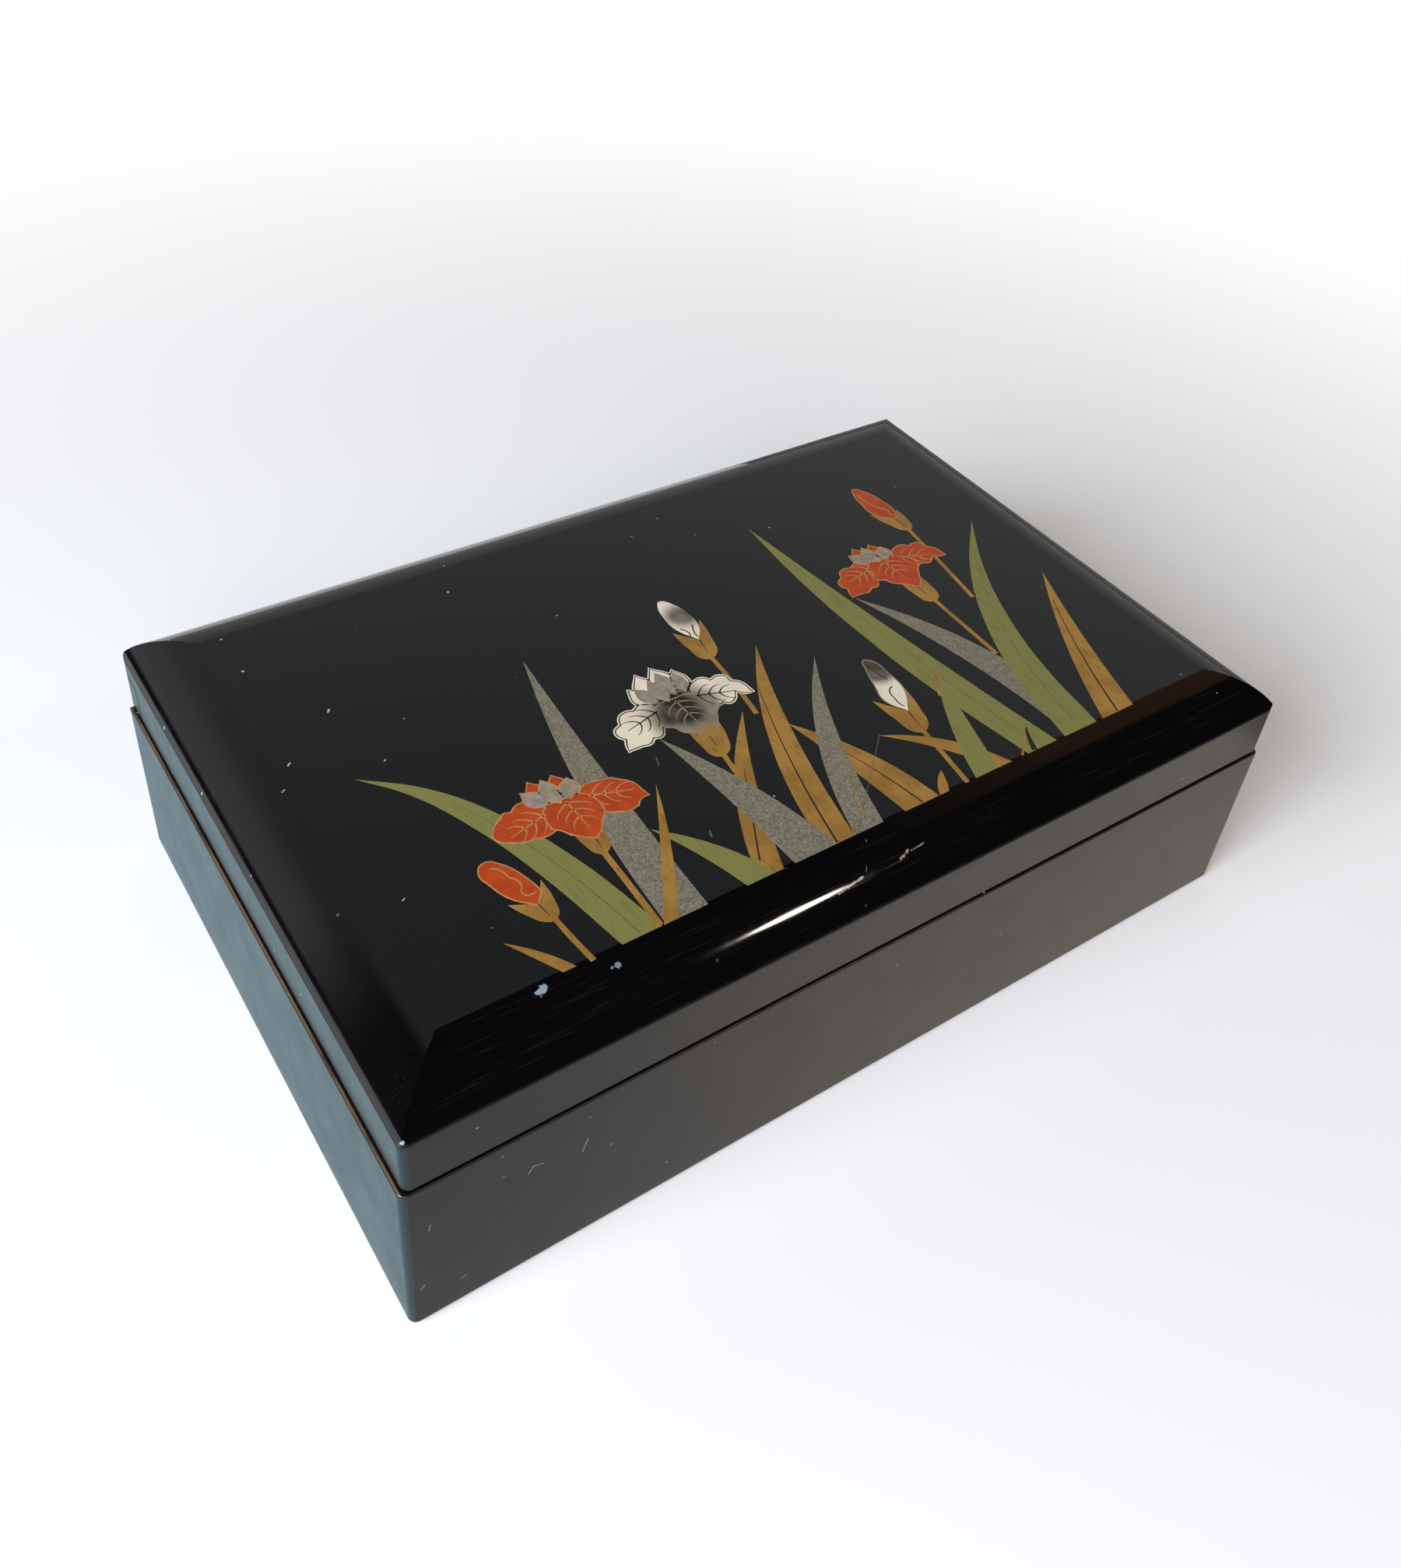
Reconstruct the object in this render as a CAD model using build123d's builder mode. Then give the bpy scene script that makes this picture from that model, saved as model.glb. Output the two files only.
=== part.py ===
from build123d import *

import os
from math import radians, sqrt, tan

# A black lacquered case: a moulded base with a hinged, pillow-topped lid, a compartment
# tray that lifts out, and a divided well under it. Millimetres. The origin is on the table
# under the middle of the case, +Y runs to the hinged back and +Z up.

# ---- Outside of the case ----
case_length = 204.0
case_depth = 131.5
rim_height = 40.5  # table to the top rim of the base
seam_gap = 0.5  # between the rims of the base and the closed lid
shoulder_height = 53.7  # table to the crease where the lid's upright sides end
crown_rise = 6.6  # crease to the flat top
crown_width = 12.0  # crease to the flat top, seen from above
corner_radius = 1.6  # upright corners
rim_edge_radius = 0.4
foot_edge_radius = 1.0
lid_side_inset = 0.8  # how far each end of the lid stands in from the base's
lid_front_inset = 0.3

# ---- Shells ----
wall = 6.5
lid_top_thickness = 4.0

# ---- Back rail of the lid, which carries the hinges ----
rail_height = 8.0
joint_line_width = 0.4  # groove where the rail meets the lid's shell
joint_line_depth = 0.8

# ---- Bottom panel and its felt ----
panel_thickness = 3.0
panel_ledge = 4.2  # how far the panel reaches under the walls
panel_play = 0.2
felt_thickness = 1.0
felt_proud = 0.3  # how far the felt stands below the walls
felt_margin = 9.0  # bare edge of the panel round the felt
panel_screw_edge = 2.1  # panel edge to a screw's middle
panel_screw_end = 22.0  # panel corner to the outer screws on the long sides
panel_screw_radius = 0.9
panel_screw_head_radius = 1.7
panel_screw_length = 10.0

# ---- Hinges ----
hinge_length = 26.0
hinge_end_distance = 44.0  # end of the case to a hinge's middle
hinge_setback = 1.6  # pin's axis to the case's back face
knuckle_count = 5
knuckle_radius = 1.3
knuckle_pocket_play = 0.2
knuckle_gap = 0.15
pin_radius = 0.7
pin_running_play = 0.05
leaf_thickness = 0.8
leaf_face_gap = 0.1  # between the two closed leaves
leaf_margin = 0.3  # leaf's front edge to the inside of the wall
leaf_recess_play = 0.1
base_chamfer_angle = 43.0  # both chamfers run to the pin's axis, and meet when the lid is open
rail_chamfer_angle = 58.0
hinge_screw_count = 3
hinge_screw_spacing = 8.5
hinge_screw_radius = 0.6
hinge_screw_head_radius = 1.15
hinge_screw_length = 5.0
screw_slot_width = 0.35
screw_slot_depth = 0.3
screw_hole_extra = 0.4  # how far a pilot hole runs past its screw

# ---- Well under the tray ----
lining_play = 0.1
floor_lining_thickness = 1.5
well_lining_thickness = 2.5
tray_ledge_height = 26.0  # top of the well's linings, where the tray sits
well_divider_thickness = 2.4
well_divider_drop = 1.5  # top of the dividers below the tray
well_cross_spacing = 62.0
half_lap_play = 0.05

# ---- Tray ----
tray_play = 1.0  # round the tray
tray_height = 13.2
tray_wall = 2.4
tray_floor = 2.0
tray_corner_radius = 1.5
tray_lining_thickness = 1.0
tray_divider_thickness = 2.4
tray_divider_drop = 1.0  # top of the dividers below the tray's rim
tray_long_divider_y = 16.0
tray_cross_spacing = 64.0
grip_width = 44.0  # raised middle of the long divider, which lifts the tray
grip_rise = 5.6
grip_corner_radius = 3.0
grip_root_radius = 2.0
same_place = 0.001  # two points nearer than this are the same one

# ---- Inside of the lid ----
mirror_length = 132.0
mirror_depth = 78.0
mirror_thickness = 2.0
mirror_play = 0.15
frame_thickness = 3.2
frame_lip = 3.0  # how far the frame covers the mirror's edge
frame_play = 0.3
lid_lining_thickness = 0.6
lid_lining_edge = 0.6  # lid's rim to the lower edge of its linings

# ---- Felt bumpers on the front of the base's rim ----
bumper_radius = 2.0
bumper_end_distance = 12.0
bumper_play = 0.1

# ---- Places worked out from the sizes above ----
half_length = case_length / 2
back_y = case_depth / 2
front_y = -case_depth / 2
room_length = case_length - 2 * wall
room_depth = case_depth - 2 * wall
lid_rim_z = rim_height + seam_gap
lid_length = case_length - 2 * lid_side_inset
lid_depth = case_depth - lid_front_inset
lid_middle_y = lid_front_inset / 2
lid_top_z = shoulder_height + crown_rise
ceiling_z = lid_top_z - lid_top_thickness
crown_radius = (crown_width**2 + crown_rise**2) / (2 * crown_rise)
crown_overrun = (crown_radius - crown_width) / 2  # how far the drawn roll runs on past the side
crown_overrun_z = lid_top_z - crown_radius + sqrt(crown_radius**2 - (crown_width + crown_overrun) ** 2)
rail_front_y = back_y - wall
panel_top_z = felt_thickness + panel_thickness
panel_length = room_length + 2 * (panel_ledge - panel_play)
panel_depth = room_depth + 2 * (panel_ledge - panel_play)
axis_y = back_y - hinge_setback
axis_z = rim_height + seam_gap / 2
leaf_front_y = rail_front_y + leaf_margin
leaf_back_y = axis_y - knuckle_radius - knuckle_pocket_play
leaf_depth = leaf_back_y - leaf_front_y
hinge_screw_y = (leaf_front_y + leaf_back_y) / 2
hinge_offset = half_length - hinge_end_distance
base_leaf_top_z = axis_z - leaf_face_gap / 2
base_leaf_low_z = base_leaf_top_z - leaf_thickness
rail_leaf_low_z = axis_z + leaf_face_gap / 2
rail_leaf_top_z = rail_leaf_low_z + leaf_thickness
floor_z = panel_top_z + floor_lining_thickness
well_length = room_length - 2 * (lining_play + well_lining_thickness)
well_depth = room_depth - 2 * (lining_play + well_lining_thickness)
well_divider_top_z = tray_ledge_height - well_divider_drop
tray_length = room_length - 2 * tray_play
tray_depth = room_depth - 2 * tray_play
tray_inside_length = tray_length - 2 * tray_wall
tray_inside_depth = tray_depth - 2 * tray_wall
tray_lining_top_z = tray_ledge_height + tray_floor + tray_lining_thickness
tray_divider_top_z = tray_ledge_height + tray_height - tray_divider_drop
frame_low_z = ceiling_z - frame_thickness

through = 2 * case_length  # longer than any cut that runs right through

os.makedirs("parts", exist_ok=True)


def save(builder, name):
    """Labels a finished piece and writes it as its own STEP file."""
    builder.part.label = name
    export_step(builder.part, f"parts/{name}.step")


def block(name, length, depth, height, x=0.0, y=0.0, z=0.0):
    """Writes a plain board: length along X, depth along Y, standing on z."""
    with BuildPart() as board:
        with BuildSketch(Plane.XY.offset(z)):
            with Locations((x, y)):
                Rectangle(length, depth)
        extrude(amount=height)
    save(board, name)


def crown_outline(low, high):
    """Edges of the lid's end or side view, run on past its sides at low and high."""
    right_end = (high + crown_overrun, crown_overrun_z)
    left_end = (low - crown_overrun, crown_overrun_z)
    with BuildLine() as outline:
        Polyline(left_end, (left_end[0], rim_height), (right_end[0], rim_height), right_end)
        TangentArc((high - crown_width, lid_top_z), right_end, tangent=(1, 0))
        Line((high - crown_width, lid_top_z), (low + crown_width, lid_top_z))
        TangentArc((low + crown_width, lid_top_z), left_end, tangent=(-1, 0))
    return outline.edges()


def hinge_screw_points(x_middle):
    """Middles of one leaf's screws, as (x, y)."""
    first = x_middle - hinge_screw_spacing * (hinge_screw_count - 1) / 2
    return [(first + i * hinge_screw_spacing, hinge_screw_y) for i in range(hinge_screw_count)]


def panel_screw_points():
    """Middles of the bottom panel's screws, as (x, y)."""
    side_y = panel_depth / 2 - panel_screw_edge
    end_x = panel_length / 2 - panel_screw_end
    return [(x, y) for x in (-end_x, 0.0, end_x) for y in (-side_y, side_y)]


def screws(name, points, head_z, up, radius, head_radius, length):
    """Writes a set of slotted countersunk screws, heads flush at head_z, running up or down."""
    way = 1 if up else -1
    with BuildPart() as set_of_screws:
        for x, y in points:
            with BuildSketch(Plane.XZ.offset(-y)):
                with BuildLine():
                    Polyline(
                        (x, head_z),
                        (x + head_radius, head_z),
                        (x + radius, head_z + way * (head_radius - radius)),
                        (x + radius, head_z + way * (length - radius)),
                        (x, head_z + way * length),
                        close=True,
                    )
                make_face()
            revolve(axis=Axis((x, y, 0), (0, 0, 1)))
            with BuildSketch(Plane.XY.offset(head_z)):
                with Locations((x, y)):
                    Rectangle(2 * head_radius, screw_slot_width)
            extrude(amount=way * screw_slot_depth, mode=Mode.SUBTRACT)
    save(set_of_screws, name)


# ---- Base ----

with BuildPart() as base_shell:
    with BuildSketch(Plane.XY.offset(felt_proud)):
        RectangleRounded(case_length, case_depth, corner_radius)
    extrude(amount=rim_height - felt_proud)
    fillet(base_shell.faces().sort_by(Axis.Z)[0].edges(), foot_edge_radius)
    fillet(base_shell.faces().sort_by(Axis.Z)[-1].edges(), rim_edge_radius)
    with BuildSketch(Plane.XY.offset(felt_proud)):
        Rectangle(room_length, room_depth)
    extrude(amount=rim_height - felt_proud, mode=Mode.SUBTRACT)
    with BuildSketch(Plane.XY.offset(felt_proud)):
        Rectangle(room_length + 2 * panel_ledge, room_depth + 2 * panel_ledge)
    extrude(amount=panel_top_z - felt_proud, mode=Mode.SUBTRACT)
    # Chamfer that stops the lid: its plane runs through the hinge's axis
    with BuildSketch(Plane.YZ):
        with BuildLine():
            Polyline(
                (axis_y, axis_z),
                (axis_y + 2 * hinge_setback, axis_z),
                (
                    axis_y + 2 * hinge_setback,
                    axis_z - 2 * hinge_setback * tan(radians(base_chamfer_angle)),
                ),
                close=True,
            )
        make_face()
    extrude(amount=through, both=True, mode=Mode.SUBTRACT)
    for x_middle in (-hinge_offset, hinge_offset):
        with BuildSketch(Plane.XY.offset(base_leaf_low_z)):
            with Locations((x_middle, (leaf_front_y - leaf_recess_play + axis_y) / 2)):
                Rectangle(
                    hinge_length + 2 * leaf_recess_play, axis_y - leaf_front_y + leaf_recess_play
                )
        extrude(amount=seam_gap + leaf_thickness, mode=Mode.SUBTRACT)
        with BuildSketch(Plane.YZ.offset(x_middle)):
            with Locations((axis_y, axis_z)):
                Circle(knuckle_radius + knuckle_pocket_play)
        extrude(amount=hinge_length / 2 + leaf_recess_play, both=True, mode=Mode.SUBTRACT)
        with Locations(*[(x, y, base_leaf_low_z) for x, y in hinge_screw_points(x_middle)]):
            Hole(hinge_screw_radius, hinge_screw_length - leaf_thickness + screw_hole_extra)
    with BuildSketch(Plane.XY.offset(panel_top_z)):
        with Locations(*panel_screw_points()):
            Circle(panel_screw_radius)
    extrude(
        amount=panel_screw_length - panel_thickness + screw_hole_extra, mode=Mode.SUBTRACT
    )
save(base_shell, "base_shell")

with BuildPart() as bottom_panel:
    with BuildSketch(Plane.XY.offset(felt_thickness)):
        Rectangle(panel_length, panel_depth)
    extrude(amount=panel_thickness)
    underside = Plane((0, 0, felt_thickness), x_dir=(1, 0, 0), z_dir=(0, 0, -1))
    with Locations(underside):
        with Locations(*panel_screw_points()):
            CounterSinkHole(panel_screw_radius, panel_screw_head_radius)
save(bottom_panel, "bottom_panel")

screws(
    "bottom_panel_screws",
    panel_screw_points(),
    felt_thickness,
    True,
    panel_screw_radius,
    panel_screw_head_radius,
    panel_screw_length,
)

block(
    "bottom_felt",
    panel_length - 2 * felt_margin,
    panel_depth - 2 * felt_margin,
    felt_thickness,
)

for side, x_side in (("left", -1), ("right", 1)):
    with BuildPart() as bumper:
        with BuildSketch(Plane.XY.offset(rim_height)):
            with Locations((x_side * (half_length - bumper_end_distance), front_y + wall / 2)):
                Circle(bumper_radius)
        extrude(amount=seam_gap - bumper_play)
    save(bumper, f"felt_bumper_{side}")

# ---- Well ----

block(
    "floor_lining",
    room_length - 2 * lining_play,
    room_depth - 2 * lining_play,
    floor_lining_thickness,
    z=panel_top_z,
)

lining_height = tray_ledge_height - floor_z
for side, y_side in (("front", -1), ("back", 1)):
    block(
        f"well_lining_{side}",
        room_length - 2 * lining_play,
        well_lining_thickness,
        lining_height,
        y=y_side * (well_depth + well_lining_thickness) / 2,
        z=floor_z,
    )
for side, x_side in (("left", -1), ("right", 1)):
    block(
        f"well_lining_{side}",
        well_lining_thickness,
        well_depth,
        lining_height,
        x=x_side * (well_length + well_lining_thickness) / 2,
        z=floor_z,
    )

divider_height = well_divider_top_z - floor_z
lap_width = well_divider_thickness + 2 * half_lap_play
cross_places = (("left", -well_cross_spacing / 2), ("right", well_cross_spacing / 2))

with BuildPart() as well_long_divider:
    with BuildSketch(Plane.XY.offset(floor_z)):
        Rectangle(well_length - 2 * lining_play, well_divider_thickness)
    extrude(amount=divider_height)
    with BuildSketch(Plane.XY.offset(floor_z + divider_height / 2 - half_lap_play)):
        with Locations(*[(x, 0) for _, x in cross_places]):
            Rectangle(lap_width, 2 * well_divider_thickness)
    extrude(amount=divider_height, mode=Mode.SUBTRACT)
save(well_long_divider, "well_long_divider")

for side, x_cross in cross_places:
    with BuildPart() as well_cross_divider:
        with BuildSketch(Plane.XY.offset(floor_z)):
            with Locations((x_cross, 0)):
                Rectangle(well_divider_thickness, well_depth - 2 * lining_play)
        extrude(amount=divider_height)
        with BuildSketch(Plane.XY.offset(floor_z)):
            with Locations((x_cross, 0)):
                Rectangle(2 * well_divider_thickness, lap_width)
        extrude(amount=divider_height / 2, mode=Mode.SUBTRACT)
    save(well_cross_divider, f"well_cross_divider_{side}")

# ---- Tray ----

with BuildPart() as tray_shell:
    with BuildSketch(Plane.XY.offset(tray_ledge_height)):
        RectangleRounded(tray_length, tray_depth, tray_corner_radius)
    extrude(amount=tray_height)
    with BuildSketch(Plane.XY.offset(tray_ledge_height + tray_floor)):
        Rectangle(tray_inside_length, tray_inside_depth)
    extrude(amount=tray_height, mode=Mode.SUBTRACT)
    fillet(tray_shell.faces().sort_by(Axis.Z)[-1].edges(), rim_edge_radius)
save(tray_shell, "tray_shell")

block(
    "tray_floor_lining",
    tray_inside_length - 2 * lining_play,
    tray_inside_depth - 2 * lining_play,
    tray_lining_thickness,
    z=tray_ledge_height + tray_floor,
)

with BuildPart() as tray_long_divider:
    with BuildSketch(Plane.XZ.offset(-tray_long_divider_y)) as divider_face:
        with Locations((0, (tray_lining_top_z + tray_divider_top_z) / 2)):
            Rectangle(
                tray_inside_length - 2 * lining_play, tray_divider_top_z - tray_lining_top_z
            )
        with Locations((0, tray_divider_top_z)):
            Rectangle(grip_width, 2 * grip_rise)
        corners = divider_face.vertices().group_by(Axis.Y)
        fillet(corners[-1], grip_corner_radius)
        fillet(
            divider_face.vertices().filter_by(
                lambda v: abs(abs(v.X) - grip_width / 2) < same_place
                and abs(v.Y - tray_divider_top_z) < same_place
            ),
            grip_root_radius,
        )
    extrude(amount=tray_divider_thickness / 2, both=True)
save(tray_long_divider, "tray_long_divider")

tray_front_y = -tray_inside_depth / 2 + lining_play
tray_cross_back_y = tray_long_divider_y - tray_divider_thickness / 2
for side, x_side in (("left", -1), ("right", 1)):
    block(
        f"tray_cross_divider_{side}",
        tray_divider_thickness,
        tray_cross_back_y - tray_front_y,
        tray_divider_top_z - tray_lining_top_z,
        x=x_side * tray_cross_spacing / 2,
        y=(tray_cross_back_y + tray_front_y) / 2,
        z=tray_lining_top_z,
    )

# ---- Hinges ----

knuckle_length = hinge_length / knuckle_count


def hinge_leaf(name, x_middle, low_z, first_knuckle, bore_radius, head_z, head_up):
    """Writes one leaf: its plate, every second knuckle from first_knuckle, and its screw holes."""
    with BuildPart() as leaf:
        with BuildSketch(Plane.XY.offset(low_z)):
            with Locations((x_middle, (leaf_front_y + leaf_back_y) / 2)):
                Rectangle(hinge_length, leaf_depth)
        extrude(amount=leaf_thickness)
        for i in range(first_knuckle, knuckle_count, 2):
            x_start = x_middle - hinge_length / 2 + i * knuckle_length
            before = knuckle_gap / 2 if i > 0 else 0.0
            after = knuckle_gap / 2 if i < knuckle_count - 1 else 0.0
            length = knuckle_length - before - after
            with BuildSketch(Plane.XY.offset(low_z)):
                with Locations((x_start + before + length / 2, (leaf_back_y + axis_y) / 2)):
                    Rectangle(length, axis_y - leaf_back_y)
            extrude(amount=leaf_thickness)
            with BuildSketch(Plane.YZ.offset(x_start + before)):
                with Locations((axis_y, axis_z)):
                    Circle(knuckle_radius)
            extrude(amount=length)
        with BuildSketch(Plane.YZ.offset(x_middle)):
            with Locations((axis_y, axis_z)):
                Circle(bore_radius)
        extrude(amount=hinge_length, both=True, mode=Mode.SUBTRACT)
        for x, y in hinge_screw_points(x_middle):
            face = Plane((x, y, head_z), x_dir=(1, 0, 0), z_dir=(0, 0, 1 if head_up else -1))
            with Locations(face):
                CounterSinkHole(hinge_screw_radius, hinge_screw_head_radius, leaf_thickness)
    save(leaf, name)


for side, x_middle in (("left", -hinge_offset), ("right", hinge_offset)):
    points = hinge_screw_points(x_middle)
    hinge_leaf(
        f"{side}_hinge_base_leaf", x_middle, base_leaf_low_z, 0, pin_radius, base_leaf_top_z, True
    )
    hinge_leaf(
        f"{side}_hinge_lid_leaf",
        x_middle,
        rail_leaf_low_z,
        1,
        pin_radius + pin_running_play,
        rail_leaf_low_z,
        False,
    )
    with BuildPart() as hinge_pin:
        with BuildSketch(Plane.YZ.offset(x_middle)):
            with Locations((axis_y, axis_z)):
                Circle(pin_radius)
        extrude(amount=hinge_length / 2, both=True)
    save(hinge_pin, f"{side}_hinge_pin")
    size = (hinge_screw_radius, hinge_screw_head_radius, hinge_screw_length)
    screws(f"{side}_hinge_base_screws", points, base_leaf_top_z, False, *size)
    screws(f"{side}_hinge_lid_screws", points, rail_leaf_low_z, True, *size)

# ---- Lid ----

with BuildPart() as lid_shell:
    with BuildSketch(Plane.XY.offset(lid_rim_z)):
        with Locations((0, lid_middle_y)):
            RectangleRounded(lid_length, lid_depth, corner_radius)
    extrude(amount=lid_top_z - lid_rim_z)
    with BuildSketch(Plane.XZ):
        make_face(crown_outline(-lid_length / 2, lid_length / 2))
    extrude(amount=through, both=True, mode=Mode.INTERSECT)
    with BuildSketch(Plane.YZ):
        make_face(crown_outline(lid_middle_y - lid_depth / 2, lid_middle_y + lid_depth / 2))
    extrude(amount=through, both=True, mode=Mode.INTERSECT)
    fillet(lid_shell.faces().sort_by(Axis.Z)[0].edges(), rim_edge_radius)
    with BuildSketch(Plane.XY.offset(lid_rim_z)):
        Rectangle(room_length, room_depth)
    extrude(amount=ceiling_z - lid_rim_z, mode=Mode.SUBTRACT)
    # Rebate for the back rail
    with BuildSketch(Plane.XY.offset(lid_rim_z)):
        with Locations((0, back_y - wall / 2)):
            Rectangle(through, wall)
    extrude(amount=rail_height, mode=Mode.SUBTRACT)
    # Joint line round the rail, along the back and at both ends
    with BuildSketch(Plane.XY.offset(lid_rim_z)):
        with Locations((0, back_y)):
            Rectangle(through, 2 * joint_line_depth)
        with Locations((-lid_length / 2, back_y), (lid_length / 2, back_y)):
            Rectangle(2 * joint_line_depth, 2 * (wall + joint_line_width))
    extrude(amount=rail_height + joint_line_width, mode=Mode.SUBTRACT)
save(lid_shell, "lid_shell")

with BuildPart() as lid_back_rail:
    with BuildSketch(Plane.XY.offset(lid_rim_z)):
        with Locations((0, back_y - wall / 2)):
            Rectangle(lid_length, wall)
    extrude(amount=rail_height)
    outer_uprights = lid_back_rail.edges().filter_by(Axis.Z).group_by(Axis.Y)[-1]
    fillet(outer_uprights, corner_radius)
    # Chamfer that meets the base's when the lid is open
    with BuildSketch(Plane.YZ):
        with BuildLine():
            Polyline(
                (axis_y, axis_z),
                (axis_y + 2 * hinge_setback, axis_z),
                (
                    axis_y + 2 * hinge_setback,
                    axis_z + 2 * hinge_setback * tan(radians(rail_chamfer_angle)),
                ),
                close=True,
            )
        make_face()
    extrude(amount=through, both=True, mode=Mode.SUBTRACT)
    for x_middle in (-hinge_offset, hinge_offset):
        with BuildSketch(Plane.XY.offset(axis_z)):
            with Locations((x_middle, (leaf_front_y - leaf_recess_play + axis_y) / 2)):
                Rectangle(
                    hinge_length + 2 * leaf_recess_play, axis_y - leaf_front_y + leaf_recess_play
                )
        extrude(amount=rail_leaf_top_z - axis_z, mode=Mode.SUBTRACT)
        with BuildSketch(Plane.YZ.offset(x_middle)):
            with Locations((axis_y, axis_z)):
                Circle(knuckle_radius + knuckle_pocket_play)
        extrude(amount=hinge_length / 2 + leaf_recess_play, both=True, mode=Mode.SUBTRACT)
        with BuildSketch(Plane.XY.offset(rail_leaf_top_z)):
            with Locations(*hinge_screw_points(x_middle)):
                Circle(hinge_screw_radius)
        extrude(
            amount=hinge_screw_length - leaf_thickness + screw_hole_extra, mode=Mode.SUBTRACT
        )
save(lid_back_rail, "lid_back_rail")

with BuildPart() as mirror_frame:
    with BuildSketch(Plane.XY.offset(frame_low_z)):
        Rectangle(room_length - 2 * frame_play, room_depth - 2 * frame_play)
    extrude(amount=frame_thickness)
    with BuildSketch(Plane.XY.offset(frame_low_z)):
        Rectangle(mirror_length - 2 * frame_lip, mirror_depth - 2 * frame_lip)
    extrude(amount=frame_thickness, mode=Mode.SUBTRACT)
    with BuildSketch(Plane.XY.offset(ceiling_z - mirror_thickness)):
        Rectangle(mirror_length + 2 * mirror_play, mirror_depth + 2 * mirror_play)
    extrude(amount=mirror_thickness, mode=Mode.SUBTRACT)
save(mirror_frame, "mirror_frame")

block("mirror", mirror_length, mirror_depth, mirror_thickness, z=ceiling_z - mirror_thickness)

lid_lining_z = lid_rim_z + lid_lining_edge
lid_lining_height = frame_low_z - lid_lining_z
for side, y_side in (("front", -1), ("back", 1)):
    block(
        f"lid_lining_{side}",
        room_length - 2 * lining_play,
        lid_lining_thickness,
        lid_lining_height,
        y=y_side * (room_depth - lid_lining_thickness) / 2,
        z=lid_lining_z,
    )
for side, x_side in (("left", -1), ("right", 1)):
    block(
        f"lid_lining_{side}",
        lid_lining_thickness,
        room_depth - 2 * lid_lining_thickness,
        lid_lining_height,
        x=x_side * (room_length - lid_lining_thickness) / 2,
        z=lid_lining_z,
    )
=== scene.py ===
import bmesh
import bpy
from math import radians
from mathutils import Matrix, Vector


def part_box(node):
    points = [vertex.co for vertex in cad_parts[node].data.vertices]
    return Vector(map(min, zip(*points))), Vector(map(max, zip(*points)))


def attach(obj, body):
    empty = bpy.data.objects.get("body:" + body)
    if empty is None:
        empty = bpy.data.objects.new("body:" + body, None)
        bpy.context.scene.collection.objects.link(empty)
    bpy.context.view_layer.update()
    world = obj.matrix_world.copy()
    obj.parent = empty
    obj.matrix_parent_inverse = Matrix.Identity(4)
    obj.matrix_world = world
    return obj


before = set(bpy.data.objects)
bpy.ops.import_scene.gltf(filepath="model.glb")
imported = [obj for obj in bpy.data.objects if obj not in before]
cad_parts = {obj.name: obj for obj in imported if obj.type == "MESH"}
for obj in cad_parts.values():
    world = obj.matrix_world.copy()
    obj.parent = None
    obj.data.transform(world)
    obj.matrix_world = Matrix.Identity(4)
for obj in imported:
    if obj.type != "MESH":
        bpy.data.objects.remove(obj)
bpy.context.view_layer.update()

# A black lacquered case with a hinged lid, irises inlaid on the lid in metal foil and enamel,
# and a velvet-lined tray and well inside. The solids come with the frame. This script gives
# them their finishes, adds the inlay and the marks of wear, and sets up the studio.

MM = 0.001

# ---- Places taken from the frame, in metres ----
base_low, base_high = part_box("base_shell")
lid_low, lid_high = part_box("lid_shell")
case_left, case_front = base_low[0], base_low[1]
rim_z = base_high[2]
lid_top_z = lid_high[2]
CROWN_HEIGHT = 6.6 * MM  # the lid's top stands this far above its upright sides
CROWN_WIDTH = 12 * MM  # how far in from the lid's edge the crown is level
shoulder_z = lid_top_z - CROWN_HEIGHT

# ---- Inlay ----
ORNAMENT_FOOT = 11.8  # millimetres from the case's front edge to the foot of the ornament
ORNAMENT_SCALE = 0.995  # the ornament is drawn a little long, and this fits it to the lid
SUNK = 0.02 * MM  # how deep a piece of inlay is let into the lacquer
LAYER = 0.0024 * MM  # each layer of inlay stands this much above the one below it
# The layer that each part of the ornament starts from, counted up from the lacquer
(
    LEAF, STEM, CALYX, RIM, FOIL_LINE, PETAL, INNER_RIM, INNER_PETAL, FRONT_RIM, FRONT_PETAL, VEIN,
) = (0, 5, 6, 7, 8, 9, 10, 12, 13, 15, 16)


# ---------------------------------------------------------------- small tools

# Settings of a Map Range node that eases in and out, and of a Mix node that blends colours, with
# the places of that node's inputs and output
SMOOTH = {"interpolation_type": "SMOOTHSTEP"}
COLOURS = {"data_type": "RGBA"}
SHARE, FIRST, SECOND, BLEND = 0, 6, 7, 2


def linear(hex_colour):
    """An sRGB hex colour as the linear RGBA that the shaders take."""
    channels = [int(hex_colour[i : i + 2], 16) / 255 for i in (1, 3, 5)]
    return [c / 12.92 if c <= 0.04045 else ((c + 0.055) / 1.055) ** 2.4 for c in channels] + [1.0]


def add(tree, kind, inputs=(), **settings):
    """Adds one node with its settings. Its inputs are given in their order, or by name or place.
    Each is a number, a colour, a socket to link, or a node, whose first output is linked."""
    node = tree.nodes.new("ShaderNode" + kind)
    for name, value in settings.items():
        setattr(node, name, value)
    filled = inputs.items() if isinstance(inputs, dict) else enumerate(inputs)
    for name, value in filled:
        if isinstance(value, bpy.types.Node):
            value = value.outputs[0]
        if isinstance(value, bpy.types.NodeSocket):
            tree.links.new(value, node.inputs[name])
        else:
            node.inputs[name].default_value = value
    return node


def new_material(name):
    """An empty node material and its tree."""
    material = bpy.data.materials.new(name)
    material.use_nodes = True
    material.node_tree.nodes.clear()
    return material, material.node_tree


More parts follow.
